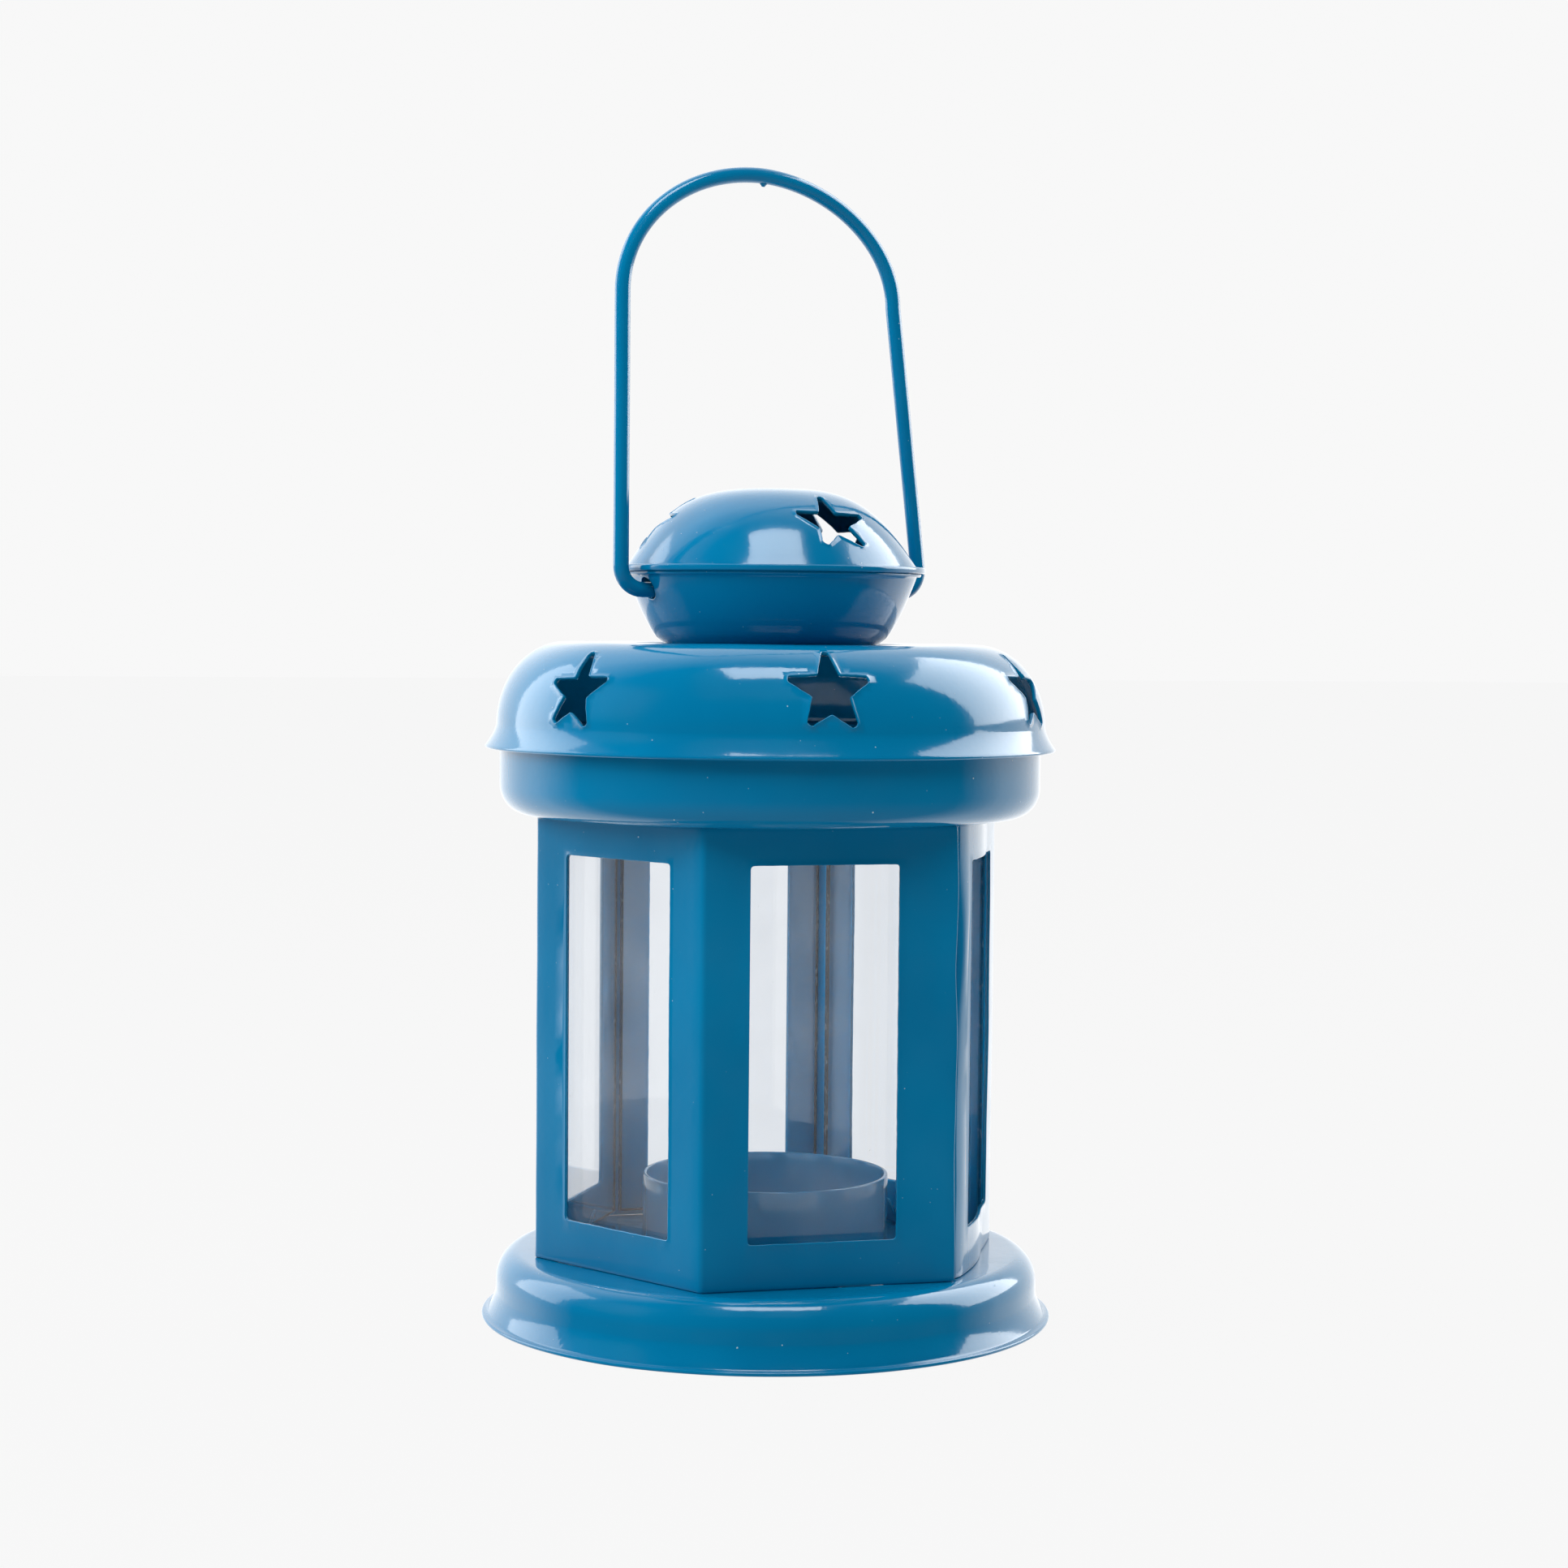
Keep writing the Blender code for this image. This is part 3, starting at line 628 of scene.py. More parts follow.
def mix_rgba(tree, factor, a, b):
    """Mix two colours; a and b are colours or sockets."""
    node = tree.nodes.new("ShaderNodeMix")
    node.data_type = "RGBA"
    for socket, value in ((node.inputs[0], factor), (node.inputs[6], a), (node.inputs[7], b)):
        if isinstance(value, bpy.types.NodeSocket):
            tree.links.new(value, socket)
        else:
            socket.default_value = value
    return node.outputs[2]


def specks(tree, where, scale, share, size):
    """Small round dots: about share of the cells of this scale have one, up to size cells wide."""
    cells = add_node(tree, "ShaderNodeTexVoronoi", {"Vector": where, "Scale": scale})
    chance = add_node(tree, "ShaderNodeSeparateColor", {"Color": cells.outputs["Color"]}).outputs["Red"]
    radius = remap(tree, chance, 1 - share, 1, 0, size)
    edge = math_node(tree, "SUBTRACT", radius, cells.outputs["Distance"])
    return remap(tree, edge, 0, size * 0.25, 0, 1)


BLUE = (0.0, 0.168, 0.345, 1)
DEEP_BLUE = (0.0, 0.146, 0.308, 1)
DUST = (0.42, 0.60, 0.68, 1)


def paint_material(name, painted_light_gain=1.0):
    """Glossy blue powder coat: soft orange peel, pale nibs of dust and a little cloudiness. A gain above 1
    lightens both blues into a lit copy of the coat, which is painted light.
    """
    material, tree, shader, where = new_material(name, IOR=1.42, Coat_Weight=0.3, Coat_Roughness=0.03)
    cloud = remap(tree, noise_value(tree, where, 30, 3), 0.35, 0.65, 0, 1)
    # both blues are scaled by the gain; above 1 this is painted light, not a different paint
    blue = tuple(c * painted_light_gain for c in BLUE[:3]) + (1,)
    deep = tuple(c * painted_light_gain for c in DEEP_BLUE[:3]) + (1,)
    colour = mix_rgba(tree, cloud, deep, blue)
    nibs = specks(tree, where, 420, 0.35, 0.075)
    fine = specks(tree, where, 900, 0.20, 0.090)
    dots = math_node(tree, "MAXIMUM", nibs, fine)
    colour = mix_rgba(tree, math_node(tree, "MULTIPLY", dots, 0.75), colour, DUST)
    tree.links.new(colour, shader.inputs["Base Color"])
    smear = noise_value(tree, where, 110, 4)
    tree.links.new(remap(tree, smear, 0.3, 0.7, 0.09, 0.17), shader.inputs["Roughness"])
    peel = math_node(tree, "ADD", noise_value(tree, where, 420, 2), noise_value(tree, where, 1100, 1))
    swells = math_node(tree, "MULTIPLY", noise_value(tree, where, 120, 1), 2.2)
    skin = math_node(tree, "ADD", peel, swells)
    height = math_node(tree, "ADD", skin, math_node(tree, "MULTIPLY", dots, 4))
    tree.links.new(bump_up(tree, shader, height), shader.inputs["Coat Normal"])
    return material


def glass_material():
    """Clear float glass with a faint blue cast, a film of haze, dust and small smears."""
    material, tree, shader, where = new_material("pane_glass", IOR=1.5)
    dust = specks(tree, where, 330, 0.10, 0.055)
    nibs = specks(tree, where, 900, 0.10, 0.09)
    dots = math_node(tree, "MAXIMUM", dust, nibs)
    smear = remap(tree, noise_value(tree, where, 60, 5), 0.45, 0.8, 0, 0.05)
    film = math_node(tree, "ADD", smear, 0.005)
    cover = math_node(tree, "MAXIMUM", film, math_node(tree, "MULTIPLY", dots, 0.45))
    clear = math_node(tree, "SUBTRACT", 1.0, cover)
    tree.links.new(clear, shader.inputs["Transmission Weight"])
    tint = mix_rgba(tree, dots, (0.955, 0.975, 1.0, 1), (0.9, 0.93, 0.95, 1))
    tree.links.new(tint, shader.inputs["Base Color"])
    tree.links.new(remap(tree, smear, 0, 0.05, 0.0, 0.04), shader.inputs["Roughness"])
    wave = noise_value(tree, where, 35, 1)
    bump_up(tree, shader, wave)
    return material


def glass_edge_material():
    """The ground edge of a pane: dark and frosted, a little paler where it is nicked."""
    material, tree, shader, where = new_material("pane_edge", IOR=1.5)
    nicks = remap(tree, noise_value(tree, where, 500, 3), 0.60, 0.72, 0, 1)
    colour = mix_rgba(tree, nicks, (0.035, 0.075, 0.105, 1), (0.20, 0.30, 0.36, 1))
    tree.links.new(colour, shader.inputs["Base Color"])
    tree.links.new(remap(tree, nicks, 0, 1, 0.22, 0.5), shader.inputs["Roughness"])
    bump_up(tree, shader, nicks)
    return material


def steel_material():
    """Zinc-plated steel: fine turning marks, dull spots and a few darker stains."""
    material, tree, shader, where = new_material("plated_steel", Metallic=1.0)
    stains = remap(tree, noise_value(tree, where, 260, 4), 0.4, 0.7, 0, 1)
    colour = mix_rgba(tree, stains, (0.60, 0.61, 0.62, 1), (0.34, 0.34, 0.36, 1))
    tree.links.new(colour, shader.inputs["Base Color"])
    tree.links.new(remap(tree, stains, 0, 1, 0.24, 0.5), shader.inputs["Roughness"])
    marks = noise_value(tree, where, 2600, 2)
    bump_up(tree, shader, marks, 0.6)
    return material


# Base


def keyhole_outline():
    """A keyhole in plan: wide where a foot drops in, then narrow along the turn that locks it."""
    near = LOCK_TAB_OFFSET - LOCK_TAB_WIDTH / 2 - LOCK_PLAY
    far = LOCK_TAB_OFFSET + LOCK_TAB_WIDTH / 2 + LOCK_PLAY
    inner = WALL_DEPTH - TAB_SHEET / 2 - LOCK_PLAY
    outer = WALL_DEPTH + TAB_SHEET / 2 + LOCK_PLAY
    foot = WALL_DEPTH - LOCK_TAB_REACH - LOCK_PLAY
    wide = math.hypot(far, outer)
    tight = math.hypot(near, inner)
    start_wide = -math.degrees(math.acos(far / wide))
    start_tight = -math.degrees(math.acos(far / tight))
    outline = [(near, -foot), (near, -outer)]
    outline += arc((0, 0), wide, wide, start_wide, start_wide + LOCK_TURN, 8)
    outline += arc((0, 0), tight, tight, start_tight + LOCK_TURN, start_tight, 8)
    outline.append((far - KEYHOLE_EASE, -foot))
    return divided(rounded(outline, 0.6), 0.6)


def dimple_line():
    """The rivet's dimple, from its hole out to the flat, as (radius, height above the flat)."""
    inner = DIMPLE_RADIUS
    outer = DIMPLE_RADIUS + DIMPLE_SLOPE
    corners = [(RIVET_HOLE + 0.2, -DIMPLE_DEPTH), (inner, -DIMPLE_DEPTH), (outer, 0), (outer + 2, 0)]
    return rounded(corners, 1.2, closed=False)


def base_profile():
    wall = BASE_LIP - BASE_FLANGE
    flat = wall - SHOULDER_WIDTH
    spring = BASE_TOP - SHOULDER_DEPTH
    line = [(r, BASE_TOP + z) for r, z in dimple_line()]
    line += arc((flat, spring), SHOULDER_WIDTH, SHOULDER_DEPTH, 90, 0, 14)
    line += flare(BASE_LIP - BASE_RIM, wall, SHEET, BASE_FLARE_HEIGHT + SHEET)
    line.append((BASE_LIP - 0.3, SHEET))
    return Profile(divided(line, FLAT_STEP))


def make_base(paint):
    profile = base_profile()
    lay = [on_deck(profile, azimuth) for azimuth in LOCK_AZIMUTHS]
    holes = [Hole(keyhole_outline(), place, WALL_DEPTH, 0.03, 2.0 + k) for k, place in enumerate(lay)]
    turned_shell("base_shell", "base", profile, paint, holes, seed=4.0)


def make_cup(paint):
    floor_edge = CUP_RADIUS - CUP_CORNER
    line = [(r, CUP_Z + z) for r, z in dimple_line()]
    line += arc((floor_edge, CUP_Z + CUP_CORNER), CUP_CORNER, CUP_CORNER, -90, 0, 8)
    line.append((CUP_RADIUS, CUP_RIM - 0.2))
    profile = Profile(divided(line, FLAT_STEP), side=-1)
    turned_shell("candle_cup", "base", profile, paint, swell=0.08, length=14, seed=7.0, bulge=0.2)


def turned_rings(outline, sides, place):
    """Points and rings of a turned solid. A corner on the axis gives a ring of one point."""
    points = []
    rings = []
    for reach, height in outline:
        if reach == 0:
            rings.append([len(points)] * sides)
            points.append(place(0, 0, height))
        else:
            rings.append([len(points) + i for i in range(sides)])
            points += [place(reach, 2 * math.pi * i / sides, height) for i in range(sides)]
    return points, rings


def turned_solid(node, body, outline, steel):
    """A small turned steel part whose outline starts and ends on the axis, or closes on itself."""

    def place(r, angle, z):
        return r * math.cos(angle), r * math.sin(angle), z

    points, rings = turned_rings(outline, SOLID_FACETS, place)
    faces = bands(rings if outline[0][0] == 0 else rings + rings[:1])
    settle(make_object(f"{node}_fine", points, faces, steel, sharp=50), body, node)


def make_rivet(steel):
    """A flat-headed rivet, domed a little by its setting."""
    shank = RIVET_HOLE - GAP
    head = 0.6
    top = arc((0, RIVET_HIGH - head), RIVET_HEAD, head, 90, 0, 10)
    bottom = arc((0, RIVET_LOW + head), RIVET_HEAD, head, 0, -90, 10)
    outline = top + [(shank, RIVET_HIGH - head), (shank, RIVET_LOW + head)] + bottom
    outline[0] = (0, outline[0][1])
    outline[-1] = (0, outline[-1][1])
    turned_solid("cup_rivet", "base", outline, steel)


# Window frame


def frame_path():
    """Outer face of the folded strip in plan, from the hidden lap round to the flap over it."""
    corner_x = PANEL_WIDTH / 2
    lap_y = -(APOTHEM - SEAM_STEP)
    lap_x = corner_x + SEAM_STEP / math.tan(math.radians(60))
    line = [(lap_x - LAP_WIDTH, lap_y), (lap_x, lap_y)]
    for azimuth in (90, 150, -150, -90, -30):
        corner = panel_place(azimuth, FRAME_RADIUS)
        line.append((corner.x, corner.y))
    line.append((corner_x + FLAP_LENGTH, -APOTHEM))
    return divided(rounded(line, BEND_RADIUS, closed=False, steps=8), FLAT_STEP)


def length_beside(path, point):
    """Length along a path at the foot of a point beside it."""
    feet = []
    for a, b, start in zip(path.points, path.points[1:], path.lengths):
        along = Vector(b) - Vector(a)
        t = min(max((point - Vector(a)).dot(along) / along.length_squared, 0), 1)
        feet.append(((Vector(a) + along * t - point).length, start + t * along.length))
    return min(feet)[1]


def seam_shift(u, v):
    """How far the right panel is pushed along the front one: most at the seam, with a bulge beside it."""
    start = LAP_WIDTH
    t = min(max((u - start) / PANEL_WIDTH, 0), 1)
    edge = SEAM_PUSH + 0.3 * ripple((0, 0, v), 17, 4.0)
    return edge * (1 - t * t) + SEAM_BULGE * math.sin(math.pi * min(1, 1.6 * t))


def frame_place(path):
    """Places the strip's length and height, with uneven panels and a wavy, lifted edge at the flap."""
    flap = path.lengths[-1]

    def place(u, v, depth):
        end = max(0.0, 1 - (flap - u) / 5.0)
        u -= end * (0.5 + 0.5 * ripple((0, 0, v), 13, 5.0))
        x, y, outward = path.at(u)
        spot = Vector((x, y))
        swell = 0.16 * ripple((spot.x, spot.y, v), 24, 2.0) + 0.04 * ripple((spot.x, spot.y, v), 7, 8.0)
        edge = min(v, FRAME_HEIGHT - v)
        swell *= min(1, 0.25 + edge / 8)
        gape = math.exp(-((v / FRAME_HEIGHT - GAPE_HEIGHT) / GAPE_SPAN) ** 2)
        swell += end * end * (0.12 + 0.55 * gape + 0.15 * ripple((0, 0, v), 9, 3.0))
        spot = spot + outward * (swell - depth)
        if u < LAP_WIDTH + PANEL_WIDTH:
            spot.x += seam_shift(u, v)
            spot.y += max(0, 1 - abs(u - LAP_WIDTH) / 2.5) * (0.9 + 1.1 * gape)
        return Vector((spot.x, spot.y, FRAME_Z + v))

    return place


def window_outline():
    half = PANEL_WIDTH / 2 - WINDOW_MARGIN
    low = WINDOW_SILL
    high = FRAME_HEIGHT - WINDOW_HEAD
    corners = [(-half, low), (half, low), (half, high), (-half, high)]
    return divided(rounded(corners, 0.7, steps=4), 1.0)


def frame_rows():
    """Heights of the strip's grid: closer near its edges."""
    rows = [0, 0.6, 1.4, 2.6]
    inner = FRAME_HEIGHT - 2 * rows[-1]
    steps = round(inner / FLAT_STEP)
    rows += [rows[-1] + inner * i / steps for i in range(1, steps)]
    rows += [FRAME_HEIGHT - row for row in (2.6, 1.4, 0.6, 0)]
    return rows


def make_frame(paint, lightened_inner_paint):
    path = Profile(frame_path(), side=-1, start=0.0)
    holes = []
    for k, azimuth in enumerate(PANEL_AZIMUTHS):
        centre = panel_place(azimuth, APOTHEM)
        middle = length_beside(path, centre.xy)
        holes.append(Hole(window_outline(), lambda x, y, m=middle: (m + x, y), 1.0, 0.05, 11.0 + k))
    skin = sheet(path.lengths, frame_rows(), frame_place(path), SHEET, holes)
    shell = make_object("window_frame_fine", skin.points, skin.faces, paint)
    # the second slot is the lightened copy of the paint: painted light on the inward faces, where little
    # light comes through the panes
    shell.data.materials.append(lightened_inner_paint)
    for polygon in shell.data.polygons:
        if polygon.normal.xy.dot(polygon.center.xy) < -0.5 * polygon.center.xy.length:
            polygon.material_index = 1
    settle(shell, "lantern_body", "window_frame")


def strap(name, azimuth, along, path, width, material, pointed=False):
    """A bent strap of tab sheet with softened edges, along (depth, height) points of a panel."""
    path = rounded(path, 0.5, closed=False, steps=3)
    half = TAB_SHEET / 2
    points = []
    rings = []
    last = len(path) - 1
    for k in range(last + 1):
        wide = width * min(1, 0.2 + 2.4 * (last - k) / last) if pointed else width
        back = Vector(path[max(k - 1, 0)])
        ahead = Vector(path[min(k + 1, last)])
        heading = (ahead - back).normalized()
        across = Vector((-heading.y, heading.x)) * half
        ring = []
        for side_a, side_b in ((-1, -1), (-1, 1), (1, 1), (1, -1)):
            depth, height = Vector(path[k]) + across * side_a
            ring.append(len(points))
            points.append(panel_place(azimuth, depth, along + side_b * wide / 2, height))
        rings.append(ring)
    made = make_object(name, points, capped(rings), material)
    bevel = made.modifiers.new("soft_edges", "BEVEL")
    bevel.width = 0.12 * MM
    bevel.segments = 2
    bevel.limit_method = "ANGLE"
    settle(made, "lantern_body")


def make_tabs(paint):
    """The prongs under the panes, the tabs folded over the collar and the feet in the keyholes."""
    floor = FRAME_Z + TAB_SHEET / 2 + 0.1
    for k, azimuth in enumerate(PANEL_AZIMUTHS):
        pane_inner = FRONT_PANE_INNER if azimuth == 0 else FRONT_PANE_INNER + SEAM_STEP
        back = pane_inner - GAP - TAB_SHEET / 2
        lean = PRONG_LEAN
        rise = PRONG_HEIGHT
        reach = SEAM_PUSH if azimuth == 60 else 0
        path = [(WALL_DEPTH + reach, floor), (back, floor), (back - 0.55 * lean, floor + 0.55 * rise)]
        path.append((back - lean, floor + rise))
        strap(f"prong_{k + 1}", azimuth, 0, path, PRONG_WIDTH, paint, pointed=True)
        fold = COLLAR_Z + SHEET + GAP + TAB_SHEET / 2
        path = [(WALL_DEPTH, FRAME_Z + FRAME_HEIGHT - TAB_ROOT), (WALL_DEPTH, fold)]
        path.append((WALL_DEPTH - TOP_TAB_REACH, fold))
        strap(f"top_tab_{k + 1}", azimuth, 0, path, TOP_TAB_WIDTH, paint)
    foot = FRAME_Z - (2 * GAP + SHEET + TAB_SHEET / 2)
    for k, azimuth in enumerate(LOCK_AZIMUTHS):
        path = [(WALL_DEPTH, FRAME_Z + TAB_ROOT), (WALL_DEPTH, foot), (WALL_DEPTH - LOCK_TAB_REACH, foot)]
        strap(f"lock_foot_{k + 1}", azimuth, LOCK_TAB_OFFSET, path, LOCK_TAB_WIDTH, paint)


# Panes


def make_pane(index, azimuth, glass, edge):
    """A cut pane: flat polished faces, and a narrow seamed edge that isn't quite straight."""
    low, high = node_box("glass_pane_1")
    half = (high.x - low.x) / 2
    inner = FRONT_PANE_INNER if azimuth == 0 else FRONT_PANE_INNER + SEAM_STEP
    seam = 0.25
    corners = [(-half, low.z), (half, low.z), (half, high.z), (-half, high.z)]
    outline = divided(corners + corners[:1], 3.0)[:-1]
    section = [(seam, 0), (0, seam), (0, GLASS - seam), (seam, GLASS)]
    points = []
    rings = []
    for inset, out in section:
        ring = []
        for x, z in outline:
            jag = 0.025 * ripple((x, z, index), 6.0, 6.0)
            x -= math.copysign(inset + jag, x) if abs(x) > half - 0.01 else 0
            if z < low.z + 0.01:
                z += inset
            elif z > high.z - 0.01:
                z -= inset
            ring.append(len(points))
            points.append(panel_place(azimuth, inner + out, x, z))
        rings.append(ring)
    pane = make_object(f"pane_{index}", points, capped(rings), glass, sharp=20)
    pane.data.materials.append(edge)
    for polygon in pane.data.polygons:
        polygon.material_index = 0 if len(polygon.vertices) > 4 else 1
    settle(pane, "lantern_body", f"glass_pane_{index}")


# Collar and roof


def tab_slot_outline():
    half = TOP_TAB_WIDTH / 2 + LOCK_PLAY
    reach = TAB_SHEET / 2 + GAP
    inner = -(WALL_DEPTH - reach)
    outer = -(WALL_DEPTH + reach)
    corners = [(-half, outer), (half, outer), (half, inner), (-half, inner)]
    return divided(rounded(corners, 0.3), 0.8)


def make_collar(paint):
    flat = COLLAR_RADIUS - COLLAR_CORNER_WIDTH
    lip = COLLAR_LIP_RADIUS
    bend = COLLAR_LIP_BEND
    line = [(lip, COLLAR_Z - COLLAR_LIP_DEPTH + 0.3)]
    line += arc((lip + bend, COLLAR_Z - bend), bend, bend, 180, 90, 6)
    corner = (flat, COLLAR_Z + COLLAR_CORNER_DEPTH)
    line += arc(corner, COLLAR_CORNER_WIDTH, COLLAR_CORNER_DEPTH, -90, 0, 14)
    line.append((COLLAR_RADIUS, COLLAR_Z + COLLAR_HEIGHT - 0.3))
    profile = Profile(divided(line, FLAT_STEP), side=-1)
    holes = []
    for k, azimuth in enumerate(PANEL_AZIMUTHS):
        holes.append(Hole(tab_slot_outline(), on_deck(profile, azimuth), WALL_DEPTH, 0.02, 21.0 + k))
    turned_shell("roof_collar", "lantern_body", profile, paint, holes, 0.08, 18, seed=9.0)


def roof_profile():
    wall = ROOF_LIP - ROOF_FLARE
    flat = wall - ROOF_SHOULDER_WIDTH
    spring = ROOF_TOP - ROOF_SHOULDER_DEPTH
    low = ROOF_TOP - ROOF_RECESS_DEPTH
    step = [(ROOF_RECESS_RADIUS - 1.5, low), (ROOF_RECESS_RADIUS, low)]
    step += [(ROOF_RECESS_RADIUS + ROOF_RECESS_STEP, ROOF_TOP), (ROOF_RECESS_RADIUS + 3, ROOF_TOP)]
    line = [(EYELET_HOLE + 0.2, low)] + rounded(step, 0.9, closed=False)
    line += arc((flat, spring), ROOF_SHOULDER_WIDTH, ROOF_SHOULDER_DEPTH, 90, 0, 26)
    line += flare(ROOF_LIP - 0.3, wall, ROOF_Z, ROOF_Z + ROOF_FLARE_HEIGHT)[1:]
    return Profile(divided(line, FLAT_STEP))


FRONT_STAR = (
    ((0.2, 8.3), (-6.8, 1.9), (-3.8, -5.9), (3.9, -6.2), (6.5, 1.9)),
    ((-1.9, 2.7), (-3.1, -1.4), (-0.1, -4.2), (3.1, -1.4), (1.8, 2.7)),
)
LEFT_STAR = (
    ((-0.9, 8.0), (-5.7, 1.4), (-3.6, -5.6), (4.0, -6.0), (6.5, 2.0)),
    ((-0.7, 2.1), (-1.9, -1.3), (0.4, -3.8), (3.3, -1.4), (2.2, 2.4)),
)
RIGHT_STAR = (
    ((1.6, 8.2), (-6.9, 2.5), (-3.9, -5.5), (4.6, -6.0), (6.6, 1.6)),
    ((-1.4, 2.8), (-3.2, -1.1), (-0.8, -3.8), (3.0, -1.5), (1.9, 2.6)),
)
DOME_STAR = (
    ((0.5, 7.3), (-6.7, 1.8), (-4.2, -5.2), (3.6, -5.5), (6.8, 1.4)),
    ((-2.3, 2.2), (-3.9, -2.0), (-1.0, -3.2), (2.2, -1.3), (1.0, 2.0)),
)
ROOF_STARS = (
    (-59.1, 11.0, LEFT_STAR), (-3.0, 11.7, FRONT_STAR), (55.5, 11.0, RIGHT_STAR),
    (118, 11.2, LEFT_STAR), (179, 11.4, FRONT_STAR), (-121, 11.0, RIGHT_STAR),
)
DOME_STARS = ((18.9, 9.7), (135.1, 6.4), (-101.3, 9.4))


def star_hole(profile, azimuth, rise, shape, seed):
    """A star whose centre lies rise above the lip, measured along the sheet."""
    length = profile.lengths[-1] - rise
    tips, notches = shape
    lay = on_profile(profile, azimuth, length)
    return Hole(star_outline(tips, notches), lay, profile.at(length)[0], 0.09, seed, STAR_BEAD)


def make_roof(paint):
    profile = roof_profile()
    holes = [star_hole(profile, turn, rise, shape, 31.0 + turn) for turn, rise, shape in ROOF_STARS]
    turned_shell("roof_shell", "lantern_body", profile, paint, holes, 0.13, 17, seed=12.0)


# Finial


def make_eyelet(steel):
    """A hollow rivet with both ends rolled out."""
    roll = 0.35
    top = EYELET_HIGH
    low = EYELET_LOW
    outline = [
        (EYELET_BORE, low + roll), (EYELET_BORE + roll, low), (EYELET_FLANGE - roll, low),
        (EYELET_FLANGE, low + roll), (EYELET_FLANGE - 0.2, low + SHEET), (EYELET_RADIUS, low + SHEET),
        (EYELET_RADIUS, top - SHEET), (EYELET_FLANGE - 0.2, top - SHEET), (EYELET_FLANGE, top - roll),
        (EYELET_FLANGE - roll, top), (EYELET_BORE + roll, top), (EYELET_BORE, top - roll),
    ]
    turned_solid("chimney_eyelet", "lantern_body", outline, steel)


def bowl_profile():
    height = BOWL_TOP - SHEET - BOWL_Z
    foot = BOWL_FOOT_RADIUS
    line = [(EYELET_HOLE + 0.2, BOWL_Z)]
    heel = [(foot - 1.5, BOWL_Z), (foot, BOWL_Z), (foot + 1.2, BOWL_Z + 1.0)]
    line += rounded(heel, 0.5, closed=False)[:-1]
    steps = 20
    for i in range(2, steps + 1):
        t = i / steps
        line.append((foot + (BOWL_RIM_RADIUS - foot) * t ** BOWL_POWER, BOWL_Z + height * t))
    line += [(BOWL_RIM_RADIUS + 0.25, BOWL_Z + height + 0.02), (BOWL_FLANGE_RADIUS - 0.6, BOWL_Z + height)]
    return Profile(divided(line, FLAT_STEP), side=-1)


def torn_hole(radius):
    """A pin hole torn open by the wire: larger than it, and not round."""
    points = []
    for k in range(48):
        angle = 2 * math.pi * k / 48
        reach = radius * (1 + 0.10 * ripple((math.cos(angle), math.sin(angle), 0), 0.5, radius))
        points.append((reach * math.cos(angle), reach * math.sin(angle)))
    return points


def make_bowl(paint):
    profile = bowl_profile()
    below = PIVOT_Z - BOWL_Z
    length = next(s for s, (r, z) in zip(profile.lengths, profile.points) if z - BOWL_Z >= below)
    holes = []
    for k, azimuth in enumerate((PIVOT_AZIMUTH, PIVOT_AZIMUTH - 180)):
        lay = on_profile(profile, azimuth, length)
        holes.append(Hole(torn_hole(2.0), lay, profile.at(length)[0], 0.12, 41.0 + k))
    turned_shell("finial_bowl", "lantern_body", profile, paint, holes, 0.05, 14, seed=15.0)


def dome_profile():
    """Nearly flat on top, steep at the flanks, then a flat lip that is pinched over the bowl."""
    rise = DOME_TOP - DOME_Z - SHEET
    line = []
    steps = 44
    for i in range(steps):
        angle = math.radians(89 - 89 * i / steps)
        radius = BOWL_RIM_RADIUS * math.cos(angle) ** DOME_WIDTH_POWER
        line.append((radius, DOME_Z + SHEET + rise * math.sin(angle) ** DOME_RISE_POWER))
    top = DOME_Z + SHEET
    low = DOME_Z - 0.1
    curl = [(BOWL_RIM_RADIUS, top), (DOME_LIP_RADIUS, top), (DOME_LIP_RADIUS, low)]
    return Profile(divided(line + rounded(curl, 0.4, closed=False), 0.9))


def make_dome(paint):
    profile = dome_profile()
    curl = profile.lengths[-1] - profile.length_at_radius(BOWL_RIM_RADIUS)
    holes = [star_hole(profile, turn, rise + curl, DOME_STAR, 51.0 + turn) for turn, rise in DOME_STARS]
    turned_shell("finial_dome", "lantern_body", profile, paint, holes, 0.14, 13, seed=18.0, pole=True)


# Bail


def bail_line():
    """Centre line of the wire in its own plane: (across, up) from the pivot."""
    hole = (PIVOT_Z - BOWL_Z) / (BOWL_TOP - SHEET - BOWL_Z)
    wall = BOWL_FOOT_RADIUS + (BOWL_RIM_RADIUS - BOWL_FOOT_RADIUS) * hole ** BOWL_POWER
    pin = wall - BAIL_PIN_REACH
    splayed = BAIL_REACH + BAIL_SPLAY
    left = [(-pin, 0)] + arc((-(BAIL_REACH - BAIL_BEND), BAIL_BEND), -BAIL_BEND, BAIL_BEND, -90, 0, 10)
    right = [(pin, 0)] + arc((splayed - BAIL_BEND, BAIL_BEND), BAIL_BEND, BAIL_BEND, -90, 0, 10)
    top = (BAIL_CROWN_SHIFT, BAIL_SPRING_HEIGHT)
    wide_left = BAIL_REACH + BAIL_CROWN_SHIFT
    wide_right = BAIL_REACH - BAIL_LEAN - BAIL_CROWN_SHIFT
    crown = arc(top, -wide_left, BAIL_CROWN_HEIGHT, 0, 90, 30)
    for across, up in arc((0, 0), 1, 1, 90, 0, 30)[1:]:
        across = max(across, 0) ** BAIL_CROWN_POWER
        up = max(up, 0) ** BAIL_CROWN_POWER
        crown.append((top[0] + wide_right * across, top[1] + BAIL_CROWN_HEIGHT * up))
    return divided(left + crown + right[::-1], 1.2)


def bail_place(spot):
    """Turn a point of the bail's own space, measured from the pivot, into the lantern's."""
    return Matrix.Rotation(math.radians(PIVOT_AZIMUTH - 90), 3, "Z") @ spot + Vector((0, 0, PIVOT_Z))


